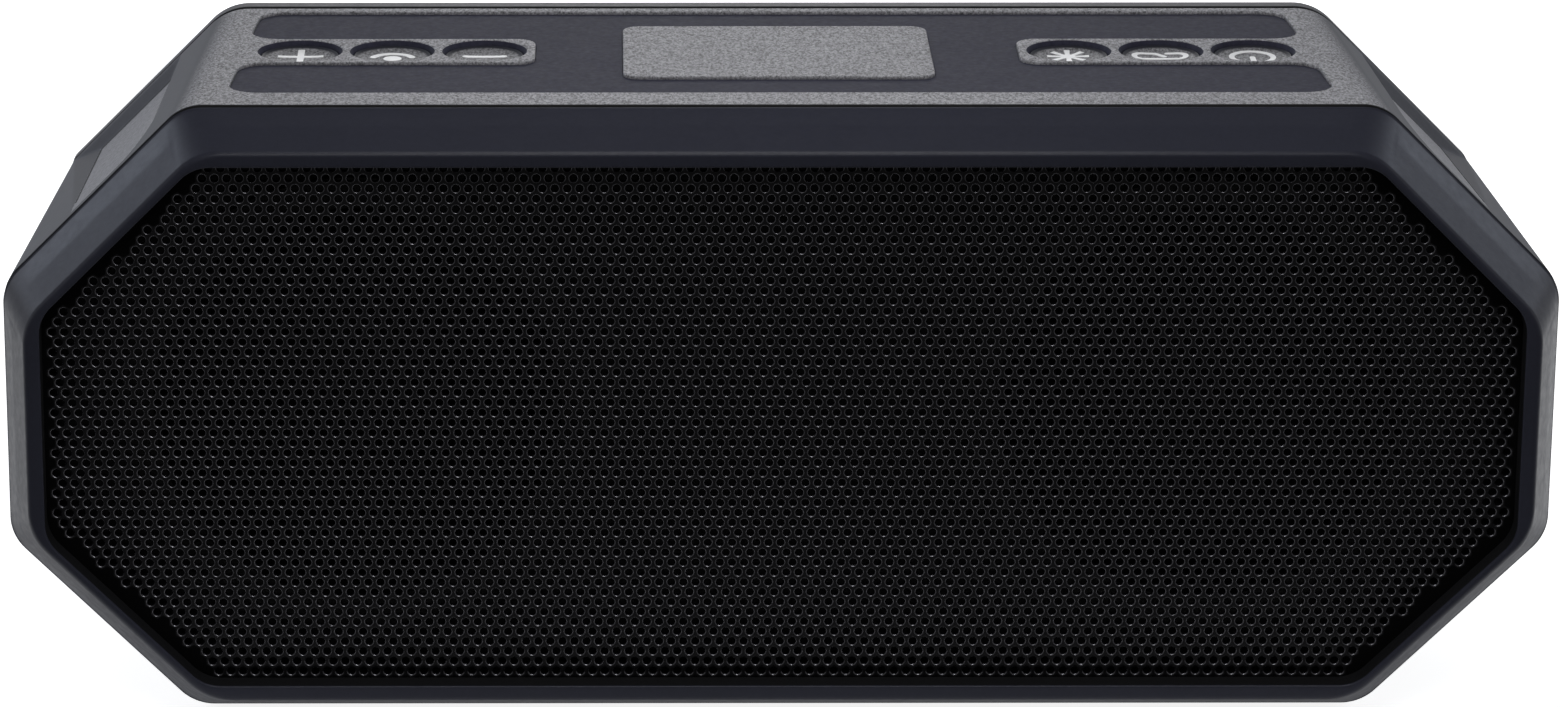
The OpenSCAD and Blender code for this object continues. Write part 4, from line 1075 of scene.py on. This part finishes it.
def flexing_roll(name, node, x, y, way, roll):
    """A surround in equal parts, each a separate piece on no body, lying between the moving piece and the
    housing.
    """
    section = roll_section(*roll)
    half = 180 / ROLL_PARTS

    def lift(radius, height, angle):
        a = math.radians(angle)
        return facing_back(x + radius * math.cos(a), radius * math.sin(a), y + way * height)

    for number in range(ROLL_PARTS):
        middle = 2 * half * number
        skin = Skin()
        turns = [middle - half + 2 * half * k / ROLL_STEPS for k in range(ROLL_STEPS + 1)]
        skin.stack([(section, angle) for angle in turns], lift)
        for angle in (turns[0], turns[-1]):
            skin.fill([section], angle, lift)
        stands_for = [node] if number == 0 else []
        piece = skin.build("%s_%02d" % (name, number + 1), None, "seal_rubber", stands_for)
        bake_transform(piece)


def slot_loop(cx, cy, half_l, r):
    """A long loop with round ends."""
    return arc(cx + half_l - r, cy, r, 270, 450, 16) + arc(cx - half_l + r, cy, r, 90, 270, 16)


def feet():
    """Rubber pads with a soft edge and three grooves in the sole."""
    skin = Skin()
    sole = FOOT_EDGE[-1][0]
    for cx, cy in [(side * FOOT_X, y) for side in (-1, 1) for y in FOOT_Y]:
        pad = [(slot_loop(cx, cy, FOOT_L / 2 + gap, FOOT_W / 2 + gap), z) for z, gap in FOOT_EDGE]
        skin.stack(pad)
        skin.fill([pad[0][0]], FOOT_EDGE[0][0])
        grooves = [slot_loop(cx, cy + k * GROOVE_STEP, GROOVE_HALF_L, GROOVE_R) for k in (-1, 0, 1)]
        skin.fill([pad[-1][0]] + grooves, sole)
        for loop in grooves:
            skin.stack([(loop, sole), (loop, sole + GROOVE_D)])
            skin.fill([loop], sole + GROOVE_D)
    skin.build("feet", "housing", "seal_rubber", ["rubber_feet"])


sleeve()
scoop_crease_shade("left_scoop_crease_shade", -1)
scoop_crease_shade("right_scoop_crease_shade", 1)
inlay()
for key_node, key_x, key_sign in KEYS:
    key(key_node, key_x, key_sign)
front_bezel()
grille()
rear_bezel()
rear_screw_set()
port_flap()
radiator_disc()
flexing_roll("radiator_roll", "radiator_surround", 0.0, WALL_Y, 1, RADIATOR_ROLL)
flexing_roll("left_cone_roll", "left_driver_surround", -CONE_X, CONE_Y, -1, CONE_ROLL)
flexing_roll("right_cone_roll", "right_driver_surround", CONE_X, CONE_Y, -1, CONE_ROLL)
feet()


# Camera, floor and light, in metres

CAMERA_PLACE = (-0.021376, -0.698333, 0.2585)
CAMERA_PITCH = 17.483
CAMERA_YAW = 0.187
CAMERA_ROLL = 0.015
CAMERA_LENS = 133.19
CAMERA_SHIFT = (0.0998, 0.0015)

# Floor: half its size, where its two parts meet, how white it looks near and far, its glow on the speaker
FLOOR_HALF = 2.5
FLOOR_JOIN_Y = -0.05
FLOOR_SPAN = (0.2, 0.7)
FLOOR_WHITE = (0.85, 1.0)
FLOOR_GLOW = 0.26

# Surroundings: (height, brightness) from below at 0 to above at 1, then the brightness in front
SKY = [(0.5, 0.3), (0.6, 0.65), (0.7, 0.65), (0.87, 0.12)]
SKY_FRONT = 0.16
SKY_TURN = (-0.5, 0.3)
COOL = (0.74, 0.83, 1.0)


def camera():
    """The fitted camera of the main picture."""
    pitch = math.radians(CAMERA_PITCH)
    yaw = math.radians(CAMERA_YAW)
    roll = math.radians(CAMERA_ROLL)
    ahead = Vector((math.sin(yaw) * math.cos(pitch), math.cos(yaw) * math.cos(pitch), -math.sin(pitch)))
    right = Vector((math.cos(yaw), -math.sin(yaw), 0))
    up = right.cross(ahead)
    across = right * math.cos(roll) + up * math.sin(roll)
    upward = up * math.cos(roll) - right * math.sin(roll)
    data = bpy.data.cameras.new("camera")
    data.sensor_width = 36.0
    data.lens = CAMERA_LENS
    data.shift_x, data.shift_y = CAMERA_SHIFT
    data.clip_start = 0.01
    data.clip_end = 50.0
    made = new_object("camera", data)
    turn = Matrix((across, upward, -ahead)).transposed().to_4x4()
    made.matrix_world = Matrix.Translation(CAMERA_PLACE) @ turn
    bpy.context.scene.camera = made


def floor(name, y0, y1, only_seen):
    """Pale floor, white far out and unseen from below; only_seen lets all but camera rays pass."""
    mesh = bpy.data.meshes.new(name)
    half = FLOOR_HALF
    mesh.from_pydata([(-half, y0, 0), (half, y0, 0), (half, y1, 0), (-half, y1, 0)], [], [(0, 1, 2, 3)])
    made = new_object(name, mesh)
    s = Shader(name + "_paint")
    new = s.tree.nodes.new
    link = s.tree.links.new
    camera_ray = new("ShaderNodeLightPath").outputs["Is Camera Ray"]
    away = s.node("ShaderNodeVectorMath", Vector=s.place)
    away.operation = "LENGTH"
    white = s.ranged(away.outputs["Value"], *FLOOR_SPAN, *FLOOR_WHITE)
    seen = s.ranged(camera_ray, 0.0, 1.0, FLOOR_GLOW, white.outputs["Result"])
    s.set(Base_Color=(0.8, 0.8, 0.8, 1.0), Roughness=0.9, Emission_Color=(1.0, 1.0, 1.0, 1.0))
    s.set(Emission_Strength=seen.outputs["Result"])
    shows = new("ShaderNodeMath")
    shows.operation = "SUBTRACT"
    shows.use_clamp = True
    shows.inputs[0].default_value = 1.0
    if only_seen:
        link(camera_ray, shows.inputs[0])
    link(new("ShaderNodeNewGeometry").outputs["Backfacing"], shows.inputs[1])
    pick = new("ShaderNodeMixShader")
    link(shows.outputs["Value"], pick.inputs["Fac"])
    link(new("ShaderNodeBsdfTransparent").outputs["BSDF"], pick.inputs[1])
    link(s.surface.outputs["BSDF"], pick.inputs[2])
    link(pick.outputs["Shader"], s.tree.nodes["Material Output"].inputs["Surface"])
    mesh.materials.append(s.material)


def area_light(name, place, target, width, height, power, colour=(1.0, 1.0, 1.0)):
    """A light panel that faces the target and is not seen itself."""
    data = bpy.data.lights.new(name, "AREA")
    data.shape = "RECTANGLE"
    data.size = width
    data.size_y = height
    data.energy = power
    data.color = colour
    made = new_object(name, data)
    made.location = place
    made.rotation_euler = (Vector(target) - Vector(place)).to_track_quat("-Z", "Y").to_euler()
    made.visible_camera = False


def world():
    """White to the camera; to all else a sky with a bright band behind, dim in front."""
    made = bpy.data.worlds.new("studio")
    made.use_nodes = True
    tree = made.node_tree
    tree.nodes.clear()
    new = tree.nodes.new
    link = tree.links.new
    out = new("ShaderNodeOutputWorld")
    white = new("ShaderNodeBackground")
    white.inputs["Color"].default_value = (1.0, 1.0, 1.0, 1.0)
    around = new("ShaderNodeBackground")
    pick = new("ShaderNodeMixShader")
    path = new("ShaderNodeLightPath")
    way = new("ShaderNodeTexCoord")
    axes = new("ShaderNodeSeparateXYZ")
    link(way.outputs["Generated"], axes.inputs["Vector"])
    heights = new("ShaderNodeMapRange")
    heights.inputs["From Min"].default_value = -1.0
    link(axes.outputs["Z"], heights.inputs["Value"])
    sky = new("ShaderNodeValToRGB")
    link(heights.outputs["Result"], sky.inputs["Fac"])
    stops = sky.color_ramp.elements
    for height, _ in SKY[1:-1]:
        stops.new(height)
    for stop, (height, shade) in zip(stops, SKY):
        stop.position = height
        stop.color = (shade, shade, shade, 1.0)
    behind = new("ShaderNodeMapRange")
    behind.inputs["From Min"].default_value = SKY_TURN[0]
    behind.inputs["From Max"].default_value = SKY_TURN[1]
    link(axes.outputs["Y"], behind.inputs["Value"])
    blend = new("ShaderNodeMixRGB")
    blend.inputs["Color1"].default_value = (SKY_FRONT, SKY_FRONT, SKY_FRONT, 1.0)
    link(behind.outputs["Result"], blend.inputs["Fac"])
    link(sky.outputs["Color"], blend.inputs["Color2"])
    link(blend.outputs["Color"], around.inputs["Color"])
    link(path.outputs["Is Camera Ray"], pick.inputs["Fac"])
    link(around.outputs["Background"], pick.inputs[1])
    link(white.outputs["Background"], pick.inputs[2])
    link(pick.outputs["Shader"], out.inputs["Surface"])
    bpy.context.scene.world = made


bpy.context.scene.view_settings.view_transform = "Standard"
camera()
floor("floor", FLOOR_JOIN_Y, FLOOR_HALF, False)
floor("front_floor", -FLOOR_HALF, FLOOR_JOIN_Y, True)
world()
area_light("left_box", (-0.75, 0.75, 0.45), (0, 0, 0.04), 0.55, 0.5, 2.35, COOL)
area_light("right_box", (0.75, 0.75, 0.45), (0, 0, 0.04), 0.55, 0.5, 1.45, COOL)
area_light("back_box", (0, 0.8, 0.32), (0, 0, 0.07), 0.26, 0.22, 0.9)
area_light("front_high", (0, -0.75, 0.85), (0, 0, 0.04), 0.4, 0.22, 1.9)
area_light("near_top", (0, -0.06, 0.21), (0, 0, 0.06), 0.12, 0.06, 0.08)
area_light("left_card", (-0.19, 0.06, 0.004), (-0.19, 0.06, 1.0), 0.14, 0.2, 0.026)
area_light("right_card", (0.19, 0.06, 0.004), (0.19, 0.06, 1.0), 0.14, 0.2, 0.044)
